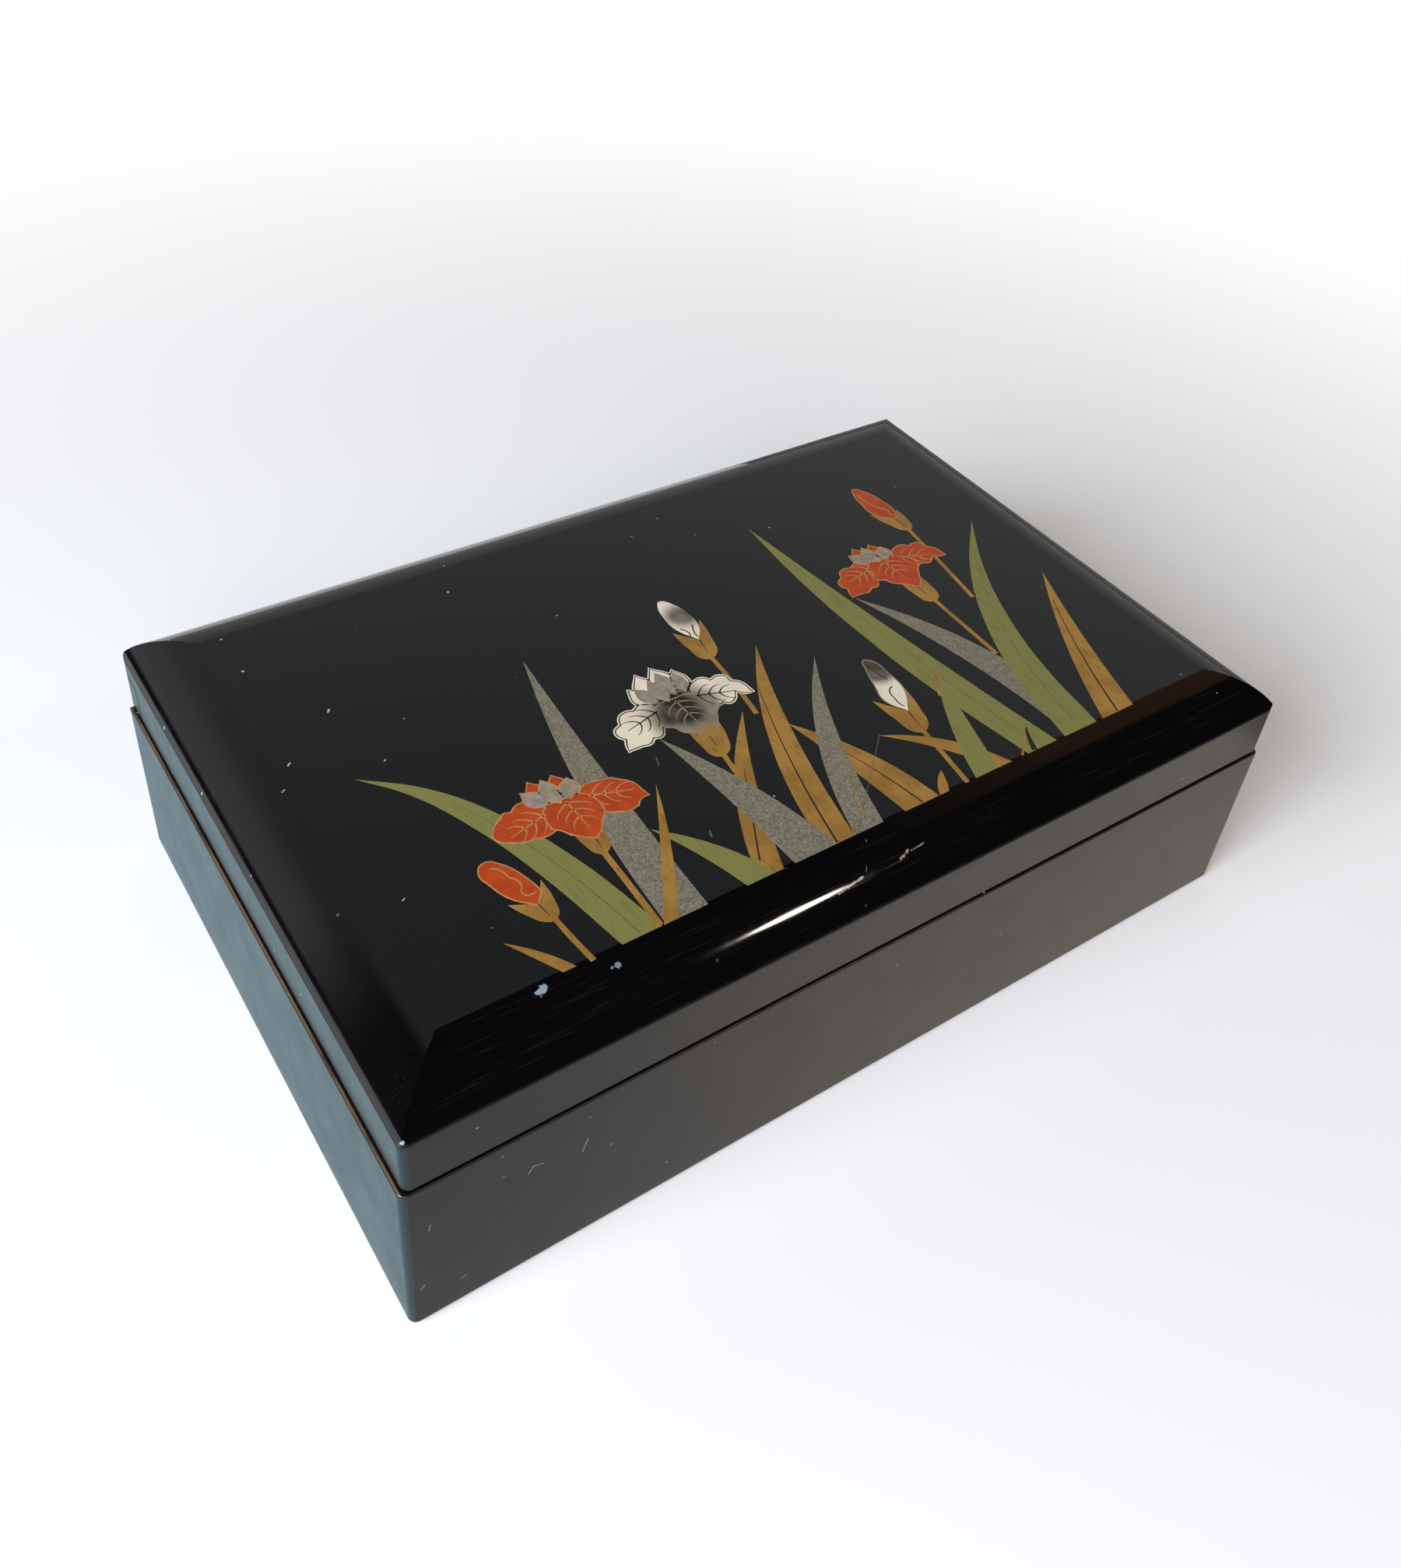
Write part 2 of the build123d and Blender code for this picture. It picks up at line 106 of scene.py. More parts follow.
def place_of(tree, scale=(1, 1, 1), turn=(0, 0, 0)):
    """The point on the object, turned and then scaled, from its Object coordinates."""
    place = add(tree, "TexCoord").outputs["Object"]
    return add(tree, "Mapping", {"Vector": place, "Scale": scale, "Rotation": turn})


def grains(tree, size, detail=2.0, roughness=0.5, scale=(1, 1, 1), turn=(0, 0, 0)):
    """Noise whose grains are about size metres across, and longer on an axis scaled below 1."""
    place = place_of(tree, scale, turn)
    inputs = {"Vector": place, "Scale": 1 / size, "Detail": detail, "Roughness": roughness}
    return add(tree, "TexNoise", inputs).outputs["Fac"]


def line_distance(tree, start, end):
    """How far the point on the object is from the straight line between two places."""
    start, end = Vector(start), Vector(end)
    along = end - start
    place = add(tree, "VectorMath", (place_of(tree), start), operation="SUBTRACT")
    unit = along / along.length_squared
    share = add(tree, "VectorMath", (place, unit), operation="DOT_PRODUCT").outputs["Value"]
    share = add(tree, "Clamp", {"Value": share})
    foot = add(tree, "VectorMath", {0: along, "Scale": share}, operation="SCALE")
    return add(tree, "VectorMath", (place, foot), operation="DISTANCE").outputs["Value"]


def mark(tree, colour, start, end, width, mark_colour, ragged=0.0):
    """A colour with one mark drawn over it in mark_colour: a scratch or a chip of wear, or a
    painted glint or highlight.
    """
    distance = line_distance(tree, start, end)
    if ragged:
        chips = grains(tree, 0.7 * MM, 3.0, 0.6)
        edge = add(tree, "MapRange", (chips, 0.25, 0.75, -ragged, ragged), **SMOOTH)
        distance = add(tree, "Math", (distance, edge), operation="ADD")
    cover = add(tree, "MapRange", (distance, width * 0.6, width * 0.4), **SMOOTH)
    inputs = {SHARE: cover, FIRST: colour, SECOND: mark_colour}
    return add(tree, "Mix", inputs, **COLOURS).outputs[BLEND]


def paint(node_name, material):
    """Gives a CAD node's object a finish in each of its material slots."""
    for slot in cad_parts[node_name].material_slots:
        slot.material = material


# ---------------------------------------------------------------- lacquers

LACQUER_BLACK = "#060607"
CREASE_EASED = 1.1 * MM  # how far above and below the lid's crease its edge is rubbed round

# Marks on the lid, and glints and a highlight painted as marks: from and to, x and y in
# millimetres from the case's front left corner, then the width in millimetres, the colour, and how
# ragged the edge is in millimetres
CROWN_MARKS_AND_GLINTS = [
    # Two chips near the front
    ((29.9, 10.3), (31.1, 10.9), 1.15, "#8b9aa4", 0.35),
    ((43.6, 8.8), (44.1, 8.9), 0.75, "#74828c", 0.25),
    # The long scratch, where it runs down the front roll
    ((97.0, 10.0), (93.6, 5.4), 0.15, "#6a6258", 0.0),
    ((93.6, 5.4), (90.6, 1.0), 0.15, "#6a6258", 0.0),
    # Painted glints: pale flecks in the roll beside the streak of light, where scratches catch it
    ((86.4, 3.9), (92.3, 4.6), 0.3, "#a3968a", 0.16),
    ((101.0, 4.5), (103.2, 5.2), 0.45, "#8f8276", 0.22),
    ((104.0, 5.0), (107.0, 5.2), 0.25, "#8f8276", 0.14),
    # A painted highlight at the front left corner, where the rounded corner catches the light
    ((0.9, 0.6), (1.6, 0.7), 0.6, "#9db4c0", 0.1),
    # Fibres and specks on the top
    ((74.5, 44.5), (75.3, 46.8), 0.12, "#6b6b69", 0.0),
    ((73.0, 24.6), (73.4, 25.8), 0.25, "#565758", 0.1),
    ((27.3, 88.0), (27.8, 88.7), 0.35, "#a4a7a9", 0.1),
    ((15.4, 78.0), (15.9, 78.5), 0.35, "#a4a7a9", 0.1),
    ((12.0, 72.2), (12.5, 72.5), 0.3, "#8f9294", 0.1),
    ((31.0, 70.6), (31.3, 70.9), 0.3, "#8f9294", 0.1),
    ((19.6, 38.4), (19.9, 38.7), 0.3, "#8f9294", 0.1),
]
# Nicks in the base's front, each from one place to another, x and z in millimetres
FRONT_NICKS = [
    ((-69.2, 26.6), (-68.1, 29.8)),
    ((-97.7, 27.8), (-97.3, 29.2)),
    ((-79.6, 28.6), (-78.6, 30.2)),
    ((-78.6, 30.2), (-76.8, 29.6)),
    ((-92.6, 7.5), (-91.4, 7.9)),
    ((-99.8, 11.2), (-99.1, 11.9)),
]
NICK_WIDTH = 0.22 * MM
NICK_RAGGED = 0.05 * MM


def crown_point(x, y):
    """A place on the lid's front roll, x and y millimetres from the case's front left corner."""
    radius = (CROWN_WIDTH**2 + CROWN_HEIGHT**2) / (2 * CROWN_HEIGHT)
    fall = max(CROWN_WIDTH - (y * MM - (lid_low[1] - case_front)), 0.0)
    drop = radius - (radius**2 - fall**2) ** 0.5
    return Vector((case_left + x * MM, case_front + y * MM, lid_top_z - drop))


def lacquer_roughness(tree):
    """Mirror-like on the lid's crown, and rubbed to a satin on the upright sides, with hairlines
    that polishing has left all over."""
    height = add(tree, "SeparateXYZ", {"Vector": place_of(tree)}).outputs["Z"]
    inputs = (height, shoulder_z + 0.3 * MM, shoulder_z - 0.1 * MM)
    upright = add(tree, "MapRange", inputs, **SMOOTH)
    smudge = grains(tree, 9 * MM, 4.0, 0.6)
    crown = add(tree, "MapRange", (smudge, 0.35, 0.75, 0.04, 0.09), **SMOOTH)
    side = add(tree, "MapRange", (smudge, 0.3, 0.7, 0.28, 0.33), **SMOOTH)
    mixed = add(tree, "Mix", {0: upright, 2: crown, 3: side}, data_type="FLOAT")
    hairlines = grains(tree, 0.25 * MM, 1.0, scale=(0.02, 1.0, 1.0), turn=(0.0, 0.0, radians(31)))
    hairlines = add(tree, "MapRange", (hairlines, 0.62, 0.75, 0.0, 0.10), **SMOOTH)
    return add(tree, "Math", (mixed, hairlines), operation="ADD")


def dusty(tree, colour):
    """Grey dust specks, 0.2 to 0.5 mm across, on a few of the cells of a random net."""
    cells = add(tree, "TexVoronoi", {"Vector": place_of(tree), "Scale": 1 / (4.2 * MM)})
    chance = add(tree, "SeparateColor", {"Color": cells.outputs["Color"]})
    limit = add(tree, "MapRange", (chance.outputs["Red"], 0.45, 1.0, 0.0, 0.075), **SMOOTH)
    inside = add(tree, "Math", (cells.outputs["Distance"], limit), operation="LESS_THAN")
    strength = add(tree, "Math", (inside, chance.outputs["Green"]), operation="MULTIPLY")
    inputs = {SHARE: strength, FIRST: colour, SECOND: linear("#a9acae")}
    return add(tree, "Mix", inputs, **COLOURS).outputs[BLEND]


def rubbed_lines(tree, colour):
    """Fine brown lines that polishing has left along the lid's front roll."""
    place = add(tree, "SeparateXYZ", {"Vector": place_of(tree)}).outputs
    inputs = (place["Z"], shoulder_z + 1.0 * MM, shoulder_z + 3.0 * MM)
    above_crease = add(tree, "MapRange", inputs, **SMOOTH)
    from_front = add(tree, "Math", (place["Y"], lid_low[1]), operation="SUBTRACT")
    inputs = (from_front, CROWN_WIDTH, CROWN_WIDTH - 2.0 * MM)
    at_front = add(tree, "MapRange", inputs, **SMOOTH)
    on_roll = add(tree, "Math", (above_crease, at_front), operation="MULTIPLY")
    lines = grains(tree, 0.45 * MM, 2.0, 0.7, scale=(0.03, 1.0, 1.0), turn=(0, 0, radians(3)))
    lines = add(tree, "MapRange", (lines, 0.58, 0.78, 0.0, 0.7), **SMOOTH)
    strength = add(tree, "Math", (on_roll, lines), operation="MULTIPLY")
    inputs = {SHARE: strength, FIRST: colour, SECOND: linear("#2a201a")}
    return add(tree, "Mix", inputs, **COLOURS).outputs[BLEND]


def lacquer_shader(tree, colour):
    """The polished coat itself, with the faint swell that spraying leaves, and the lid's crease
    rubbed round over the last millimetre of its upright sides."""
    swell = grains(tree, 5 * MM, 1.0)
    swell = add(tree, "Bump", {"Strength": 0.05, "Distance": 0.05 * MM, "Height": swell})
    height = add(tree, "SeparateXYZ", {"Vector": place_of(tree)}).outputs["Z"]
    inputs = (height, shoulder_z - CREASE_EASED, shoulder_z + CREASE_EASED, 1.0, 0.0)
    eased = add(tree, "MapRange", inputs, **SMOOTH)
    eased = add(tree, "Math", (eased, 0.5), operation="MAXIMUM")
    inputs = {"Strength": 1.0, "Distance": CREASE_EASED, "Height": eased, "Normal": swell}
    rounded = add(tree, "Bump", inputs)
    inputs = {"Base Color": colour, "Roughness": lacquer_roughness(tree), "IOR": 1.54}
    return add(tree, "BsdfPrincipled", {**inputs, "Normal": rounded})


def lid_lacquer():
    """Black urushi-like lacquer, sprayed and polished: a deep mirror, with dust, chips and specks
    on the crown, rubbed lines and a long scratch on the front roll, painted glints beside the
    streak of light, and a painted highlight at the front left corner."""
    material, tree = new_material("polished_black_lacquer")
    clouds = grains(tree, 22 * MM, 3.0)
    inputs = {SHARE: clouds, FIRST: linear(LACQUER_BLACK), SECOND: linear("#09090a")}
    colour = add(tree, "Mix", inputs, **COLOURS).outputs[BLEND]
    colour = dusty(tree, colour)
    colour = rubbed_lines(tree, colour)
    for start, end, width, mark_colour, ragged in CROWN_MARKS_AND_GLINTS:
        places = crown_point(*start), crown_point(*end)
        colour = mark(tree, colour, *places, width * MM, linear(mark_colour), ragged * MM)
    add(tree, "OutputMaterial", {"Surface": lacquer_shader(tree, colour)})
    return material


def worn_rim(tree):
    """Where the base's rim is rubbed through, on the outer edge of the ledge that shows outside
    the lid. That ledge is 0.3 mm wide at the front and 0.8 mm at the ends."""
    place = add(tree, "SeparateXYZ", {"Vector": place_of(tree)}).outputs
    along = add(tree, "Math", (place["X"],), operation="ABSOLUTE")
    across = add(tree, "Math", (place["Y"],), operation="ABSOLUTE")
    half_length, half_depth = base_high[0], base_high[1]
    inputs = (along, half_length - 0.60 * MM, half_length - 0.50 * MM)
    at_end = add(tree, "MapRange", inputs, **SMOOTH)
    inputs = (across, half_depth - 0.22 * MM, half_depth - 0.14 * MM)
    at_front = add(tree, "MapRange", inputs, **SMOOTH)
    edge = add(tree, "Math", (at_end, at_front), operation="MAXIMUM")
    inputs = (place["Z"], rim_z - 0.12 * MM, rim_z - 0.04 * MM)
    on_top = add(tree, "MapRange", inputs, **SMOOTH)
    edge = add(tree, "Math", (edge, on_top), operation="MULTIPLY")
    worn = grains(tree, 14 * MM, 3.0, 0.6)
    worn = add(tree, "MapRange", (worn, 0.35, 0.6, 0.3, 1.0), **SMOOTH)
    return add(tree, "Math", (edge, worn), operation="MULTIPLY")


def base_lacquer():
    """The same black lacquer on the lower shell, rubbed thin to the brown undercoat on the rim's
    outer edge, with a few nicks at the front."""
    material, tree = new_material("rubbed_black_lacquer")
    inputs = {SHARE: worn_rim(tree), FIRST: linear(LACQUER_BLACK), SECOND: linear("#6b5238")}
    colour = add(tree, "Mix", inputs, **COLOURS).outputs[BLEND]
    colour = dusty(tree, colour)
    for nick in FRONT_NICKS:
        places = [Vector((x * MM, case_front, z * MM)) for x, z in nick]
        colour = mark(tree, colour, *places, NICK_WIDTH, linear("#7d7a77"), NICK_RAGGED)
    add(tree, "OutputMaterial", {"Surface": lacquer_shader(tree, colour)})
    return material


def satin_lacquer():
    """Satin black lacquer brushed on thin wood: an even, soft shine with faint brush lines."""
    material, tree = new_material("satin_black_lacquer")
    lines = grains(tree, 0.4 * MM, 2.0, scale=(0.06, 1.0, 1.0))
    share = add(tree, "MapRange", (lines, 0.3, 0.7), **SMOOTH)
    inputs = {SHARE: share, FIRST: linear("#171414"), SECOND: linear("#231f1e")}
    colour = add(tree, "Mix", inputs, **COLOURS).outputs[BLEND]
    bump = add(tree, "Bump", {"Strength": 0.12, "Distance": 0.05 * MM, "Height": lines})
    rough = add(tree, "MapRange", (grains(tree, 8 * MM), 0.3, 0.7, 0.26, 0.36), **SMOOTH)
    inputs = {"Base Color": colour, "Roughness": rough, "Normal": bump, "IOR": 1.5}
    add(tree, "OutputMaterial", {"Surface": add(tree, "BsdfPrincipled", inputs)})
    return material


# ---------------------------------------------------------------- cloth, board, metal and glass


def velvet():
    """Short-pile velvet glued on card: a deep red, lightened in patches as painted sheen where the
    pile leans, and darkened between the tufts as painted shade. The pile is too fine to show, so
    it is drawn 0.35 mm across."""
    material, tree = new_material("red_velvet")
    sheen_patches = grains(tree, 16 * MM, 3.0, 0.6)
    sheen_patches = add(tree, "MapRange", (sheen_patches, 0.3, 0.75), **SMOOTH)
    pile_tufts = grains(tree, 0.35 * MM, 2.0)
    between = add(tree, "MapRange", (pile_tufts, 0.35, 0.65, 0.0, 0.5), **SMOOTH)
    # Painted sheen: a lighter red in patches where the pile leans
    inputs = {SHARE: sheen_patches, FIRST: linear("#66111a"), SECOND: linear("#7a1820")}
    colour = add(tree, "Mix", inputs, **COLOURS).outputs[BLEND]
    # Painted shade: darker red between the tufts of pile
    inputs = {SHARE: between, FIRST: colour, SECOND: linear("#2b0508")}
    colour = add(tree, "Mix", inputs, **COLOURS).outputs[BLEND]
    bump = add(tree, "Bump", {"Strength": 0.5, "Distance": 0.15 * MM, "Height": pile_tufts})
    inputs = {
        "Base Color": colour,
        "Roughness": 0.9,
        "Sheen Weight": 0.6,
        "Sheen Roughness": 0.35,
        "Sheen Tint": linear("#d86a70"),
        "Normal": bump,
    }
    add(tree, "OutputMaterial", {"Surface": add(tree, "BsdfPrincipled", inputs)})
    return material


def wool_felt():
    """Pressed black wool felt: matted fibres about 0.3 mm apart, with no shine."""
    material, tree = new_material("black_wool_felt")
    fibres = grains(tree, 0.3 * MM, 4.0, 0.7)
    share = add(tree, "MapRange", (fibres, 0.3, 0.7), **SMOOTH)
    inputs = {SHARE: share, FIRST: linear("#161617"), SECOND: linear("#2c2c2e")}
    colour = add(tree, "Mix", inputs, **COLOURS).outputs[BLEND]
    bump = add(tree, "Bump", {"Strength": 0.7, "Distance": 0.2 * MM, "Height": fibres})
    inputs = {"Base Color": colour, "Roughness": 0.95, "Sheen Weight": 0.2, "Normal": bump}
    add(tree, "OutputMaterial", {"Surface": add(tree, "BsdfPrincipled", inputs)})
    return material


def painted_board():
    """Fibre board rolled with matt black paint: a fine roller stipple and a dull, even shine."""
    material, tree = new_material("painted_fibre_board")
    stipple = grains(tree, 0.8 * MM, 3.0, 0.6)
    share = add(tree, "MapRange", (stipple, 0.3, 0.7), **SMOOTH)
    inputs = {SHARE: share, FIRST: linear("#1b1917"), SECOND: linear("#282522")}
    colour = add(tree, "Mix", inputs, **COLOURS).outputs[BLEND]
    bump = add(tree, "Bump", {"Strength": 0.35, "Distance": 0.1 * MM, "Height": stipple})
    inputs = {"Base Color": colour, "Roughness": 0.6, "Normal": bump}
    add(tree, "OutputMaterial", {"Surface": add(tree, "BsdfPrincipled", inputs)})
    return material


def tumbled_brass():
    """Rolled and tumbled brass, slightly tarnished: warm, with soft brown blotches."""
    material, tree = new_material("tumbled_brass")
    tarnish = grains(tree, 3 * MM, 4.0, 0.6)
    share = add(tree, "MapRange", (tarnish, 0.4, 0.75), **SMOOTH)
    inputs = {SHARE: share, FIRST: linear("#d9b266"), SECOND: linear("#8f6a34")}
    colour = add(tree, "Mix", inputs, **COLOURS).outputs[BLEND]
    scuffs = grains(tree, 1.2 * MM, 3.0)
    rough = add(tree, "MapRange", (scuffs, 0.3, 0.7, 0.34, 0.46), **SMOOTH)
    inputs = {"Base Color": colour, "Roughness": rough, "Metallic": 1.0}
    add(tree, "OutputMaterial", {"Surface": add(tree, "BsdfPrincipled", inputs)})
    return material


def silvered_glass():
    """Float glass silvered on its back: a plain mirror with the faintest smears."""
    material, tree = new_material("silvered_glass")
    smears = grains(tree, 12 * MM, 4.0, 0.6)
    rough = add(tree, "MapRange", (smears, 0.45, 0.8, 0.015, 0.06), **SMOOTH)
    inputs = {"Base Color": linear("#e6ebea"), "Roughness": rough, "Metallic": 1.0}
    add(tree, "OutputMaterial", {"Surface": add(tree, "BsdfPrincipled", inputs)})
    return material


# ---------------------------------------------------------------- foils, enamels and inks

# Where a dark reflection is painted on the bright foil: x, y, the radii where it is darkest and
# where it is clear again, in millimetres, and how dark
PAINTED_DARK_REFLECTIONS = [
    (87.0, 55.8, 3.0, 6.2, 0.84),
    (87.8, 54.6, 5.5, 10.5, 0.72),
    (103.8, 80.6, 1.6, 5.4, 0.8),
    (129.3, 47.0, 3.0, 6.2, 0.85),
]
# Where that foil turns to gold, and the radii where it is clear of gold and all gold
GILDED = (88.8, 45.6)
GILDED_CLEAR = 5.5 * MM
GILDED_FULL = 2.0 * MM


def on_lid(x, y):
    """A point of the ornament, in millimetres from the case's front left corner, in metres."""
    return Vector((case_left + x * ORNAMENT_SCALE * MM, case_front + y * MM, 0.0))


def lid_distance(tree, x, y):
    """How far the point on the object is from a point of the ornament, which stands here as a
    very short upright line."""
    spot = on_lid(x, y) + Vector((0, 0, lid_top_z))
    return line_distance(tree, spot, spot + Vector((0, 0, 0.1 * MM)))


def gold_foil():
    """Hot-pressed gold foil over a grained ground: ochre, with short darker fibres like wood."""
    material, tree = new_material("grained_gold_foil")
    fibres = grains(tree, 0.7 * MM, 3.0, 0.6, scale=(1.0, 0.22, 1.0), turn=(0, 0, radians(12)))
    fibres = add(tree, "MapRange", (fibres, 0.56, 0.68, 0.0, 0.6), **SMOOTH)
    tone = add(tree, "MapRange", (grains(tree, 7 * MM, 2.0), 0.35, 0.65), **SMOOTH)
    inputs = {SHARE: tone, FIRST: linear("#a07534"), SECOND: linear("#b48840")}
    colour = add(tree, "Mix", inputs, **COLOURS).outputs[BLEND]
    inputs = {SHARE: fibres, FIRST: colour, SECOND: linear("#7a5326")}
    colour = add(tree, "Mix", inputs, **COLOURS).outputs[BLEND]
    inputs = {"Base Color": colour, "Roughness": 0.42, "Metallic": 0.35}
    add(tree, "OutputMaterial", {"Surface": add(tree, "BsdfPrincipled", inputs)})
    return material


def green_enamel():
    """Olive-green pearl enamel, screen-printed: even, with faint darker strokes along it."""
    material, tree = new_material("olive_pearl_enamel")
    strokes = grains(tree, 0.9 * MM, 3.0, 0.6, scale=(1.0, 0.12, 1.0))
    strokes = add(tree, "MapRange", (strokes, 0.52, 0.68, 0.0, 0.7), **SMOOTH)
    inputs = {SHARE: strokes, FIRST: linear("#7f7e43"), SECOND: linear("#6d6c3b")}
    colour = add(tree, "Mix", inputs, **COLOURS).outputs[BLEND]
    inputs = {"Base Color": colour, "Roughness": 0.45, "Metallic": 0.15}
    add(tree, "OutputMaterial", {"Surface": add(tree, "BsdfPrincipled", inputs)})
    return material


def silver_flake():
    """Silver flakes in grey enamel: flakes about 0.3 mm across, each at its own brightness."""
    material, tree = new_material("silver_flake_enamel")
    flakes = add(tree, "TexVoronoi", {"Vector": place_of(tree), "Scale": 1 / (0.3 * MM)})
    spread = add(tree, "SeparateColor", {"Color": flakes.outputs["Color"]}).outputs["Red"]
    inputs = {SHARE: spread, FIRST: linear("#716c5b"), SECOND: linear("#9b9480")}
    colour = add(tree, "Mix", inputs, **COLOURS).outputs[BLEND]
    rough = add(tree, "MapRange", (spread, 0.0, 1.0, 0.3, 0.6), **SMOOTH)
    inputs = {"Base Color": colour, "Roughness": rough, "Metallic": 0.4}
    add(tree, "OutputMaterial", {"Surface": add(tree, "BsdfPrincipled", inputs)})
    return material


def orange_enamel():
    """Orange-red enamel, screen-printed thick: saturated, with slightly uneven cover."""
    material, tree = new_material("orange_red_enamel")
    cover = grains(tree, 3.5 * MM, 3.0, 0.6)
    cover = add(tree, "MapRange", (cover, 0.35, 0.7), **SMOOTH)
    inputs = {SHARE: cover, FIRST: linear("#a13706"), SECOND: linear("#b3430c")}
    colour = add(tree, "Mix", inputs, **COLOURS).outputs[BLEND]
    inputs = {"Base Color": colour, "Roughness": 0.4, "IOR": 1.5}
    add(tree, "OutputMaterial", {"Surface": add(tree, "BsdfPrincipled", inputs)})
    return material


def bright_foil():
    """Bright silver foil, pressed: near white, with a painted dark reflection towards the heart of
    each bloom, where its colour is darkened to stand for the dark room mirrored in the foil. The
    tip of the middle flower's front petal takes the gold of the sheath below it."""
    material, tree = new_material("silver_foil_painted_reflection")
    waves = grains(tree, 5 * MM, 1.0)
    waves = add(tree, "MapRange", (waves, 0.3, 0.7, -0.10, 0.02), **SMOOTH)
    shade = 1.0
    # Painted reflection: the foil's colour is darkened towards each heart
    for x, y, dark_radius, clear_radius, depth in PAINTED_DARK_REFLECTIONS:
        inputs = (lid_distance(tree, x, y), dark_radius * MM, clear_radius * MM, 1.0 - depth, 1.0)
        spot = add(tree, "MapRange", inputs, **SMOOTH)
        shade = add(tree, "Math", (shade, spot), operation="MULTIPLY")
    shade = add(tree, "Math", (shade, waves), operation="ADD")
    inputs = {SHARE: shade, FIRST: linear("#241d16"), SECOND: linear("#efe4ca")}
    colour = add(tree, "Mix", inputs, **COLOURS).outputs[BLEND]
    inputs = (lid_distance(tree, *GILDED), GILDED_CLEAR, GILDED_FULL)
    gilding = add(tree, "MapRange", inputs, **SMOOTH)
    inputs = {SHARE: gilding, FIRST: colour, SECOND: linear("#a6772f")}
    colour = add(tree, "Mix", inputs, **COLOURS).outputs[BLEND]
    inputs = {"Base Color": colour, "Roughness": 0.35, "Metallic": 0.2}
    add(tree, "OutputMaterial", {"Surface": add(tree, "BsdfPrincipled", inputs)})
    return material


def plain_ink(name, colour, roughness):
    """Printing ink in one hue, a little uneven in strength as the screen leaves it."""
    material, tree = new_material(name)
    strength = add(tree, "MapRange", (grains(tree, 1.5 * MM, 2.0), 0.35, 0.65), **SMOOTH)
    full = linear(colour)
    thin = [c * 0.75 for c in full[:3]] + [1.0]
    inputs = {SHARE: strength, FIRST: thin, SECOND: full}
    mixed = add(tree, "Mix", inputs, **COLOURS).outputs[BLEND]
    shader = add(tree, "BsdfPrincipled", {"Base Color": mixed, "Roughness": roughness})
    add(tree, "OutputMaterial", {"Surface": shader})
    return material


# ---------------------------------------------------------------- inlay

CURVE_STEPS = 6  # straight pieces in each stretch of a curved edge
SAME_POINT = 0.0002 * MM  # points nearer than this are one point
TAPER = 0.35  # the end of a drawn line is this share as wide as its start
CORNER_REACH = 1.25  # a corner moves out this much farther than the edges beside it
PETAL_WIDEST = 0.48  # the share of its length at which a small petal is widest
# Widths in millimetres
VEIN_WIDTH = 0.4
SIDE_VEIN_WIDTH = 0.34
SEAM_WIDTH = 0.28
BUD_LINE_WIDTH = 0.3
BUD_RIM_WIDTH = 0.28
RIM_WIDTH = 0.3
LINE_WIDTH = 0.26
SCRATCH_WIDTH = 0.1


def cut_outline(outline, thickness):
    """One piece of foil cut to a closed outline of (x, y, corner) points, as a mesh."""
    curve = bpy.data.curves.new("outline", "CURVE")
    curve.dimensions = "2D"
    curve.fill_mode = "BOTH"
    curve.resolution_u = CURVE_STEPS
    curve.extrude = thickness / 2
    spline = curve.splines.new("BEZIER")
    spline.bezier_points.add(len(outline) - 1)
    for point, (x, y, corner) in zip(spline.bezier_points, outline):
        point.co = on_lid(x, y)
        point.handle_left_type = point.handle_right_type = "VECTOR" if corner else "AUTO"
    spline.use_cyclic_u = True
    drawn = bpy.data.objects.new("outline", curve)
    mesh = bpy.data.meshes.new_from_object(drawn)
    bpy.data.objects.remove(drawn)
    bpy.data.curves.remove(curve)
    return mesh


def inlay(name, outlines, layer, material):
    """One object of inlay, let into the lid's top and standing a hair above it by its layer."""
    shape = bmesh.new()
    thickness = SUNK + (layer + 1) * LAYER
    for outline in outlines:
        mesh = cut_outline(outline, thickness)
        mesh.transform(Matrix.Translation((0, 0, lid_top_z - SUNK + thickness / 2)))
        shape.from_mesh(mesh)
        bpy.data.meshes.remove(mesh)
    bmesh.ops.remove_doubles(shape, verts=shape.verts, dist=SAME_POINT)
    bmesh.ops.recalc_face_normals(shape, faces=shape.faces)
    mesh = bpy.data.meshes.new(name)
    shape.to_mesh(mesh)
    shape.free()
    mesh.materials.append(material)
    piece = bpy.data.objects.new(name, mesh)
    bpy.context.scene.collection.objects.link(piece)
    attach(piece, "lid")


def bowed(start, middle, end, share):
    """The point at a share of the way along the bow from start to end through middle."""
    pull = 2 * middle - (start + end) / 2
    return start * (1 - share) ** 2 + pull * 2 * share * (1 - share) + end * share**2


def blade(tip, feet, left_middle, right_middle):
    """A sword leaf cut off square at its foot. Each side bows from foot to tip by its middle."""
    tip = Vector(tip)
    left, right = (Vector((x, ORNAMENT_FOOT)) for x in feet)
    up = [bowed(left, Vector(left_middle), tip, share) for share in (0.25, 0.5, 0.75)]
    down = [bowed(right, Vector(right_middle), tip, share) for share in (0.75, 0.5, 0.25)]
    sides = [(left, True), *((p, False) for p in up), (tip, True), *((p, False) for p in down)]
    return [(p.x, p.y, corner) for p, corner in [*sides, (right, True)]]


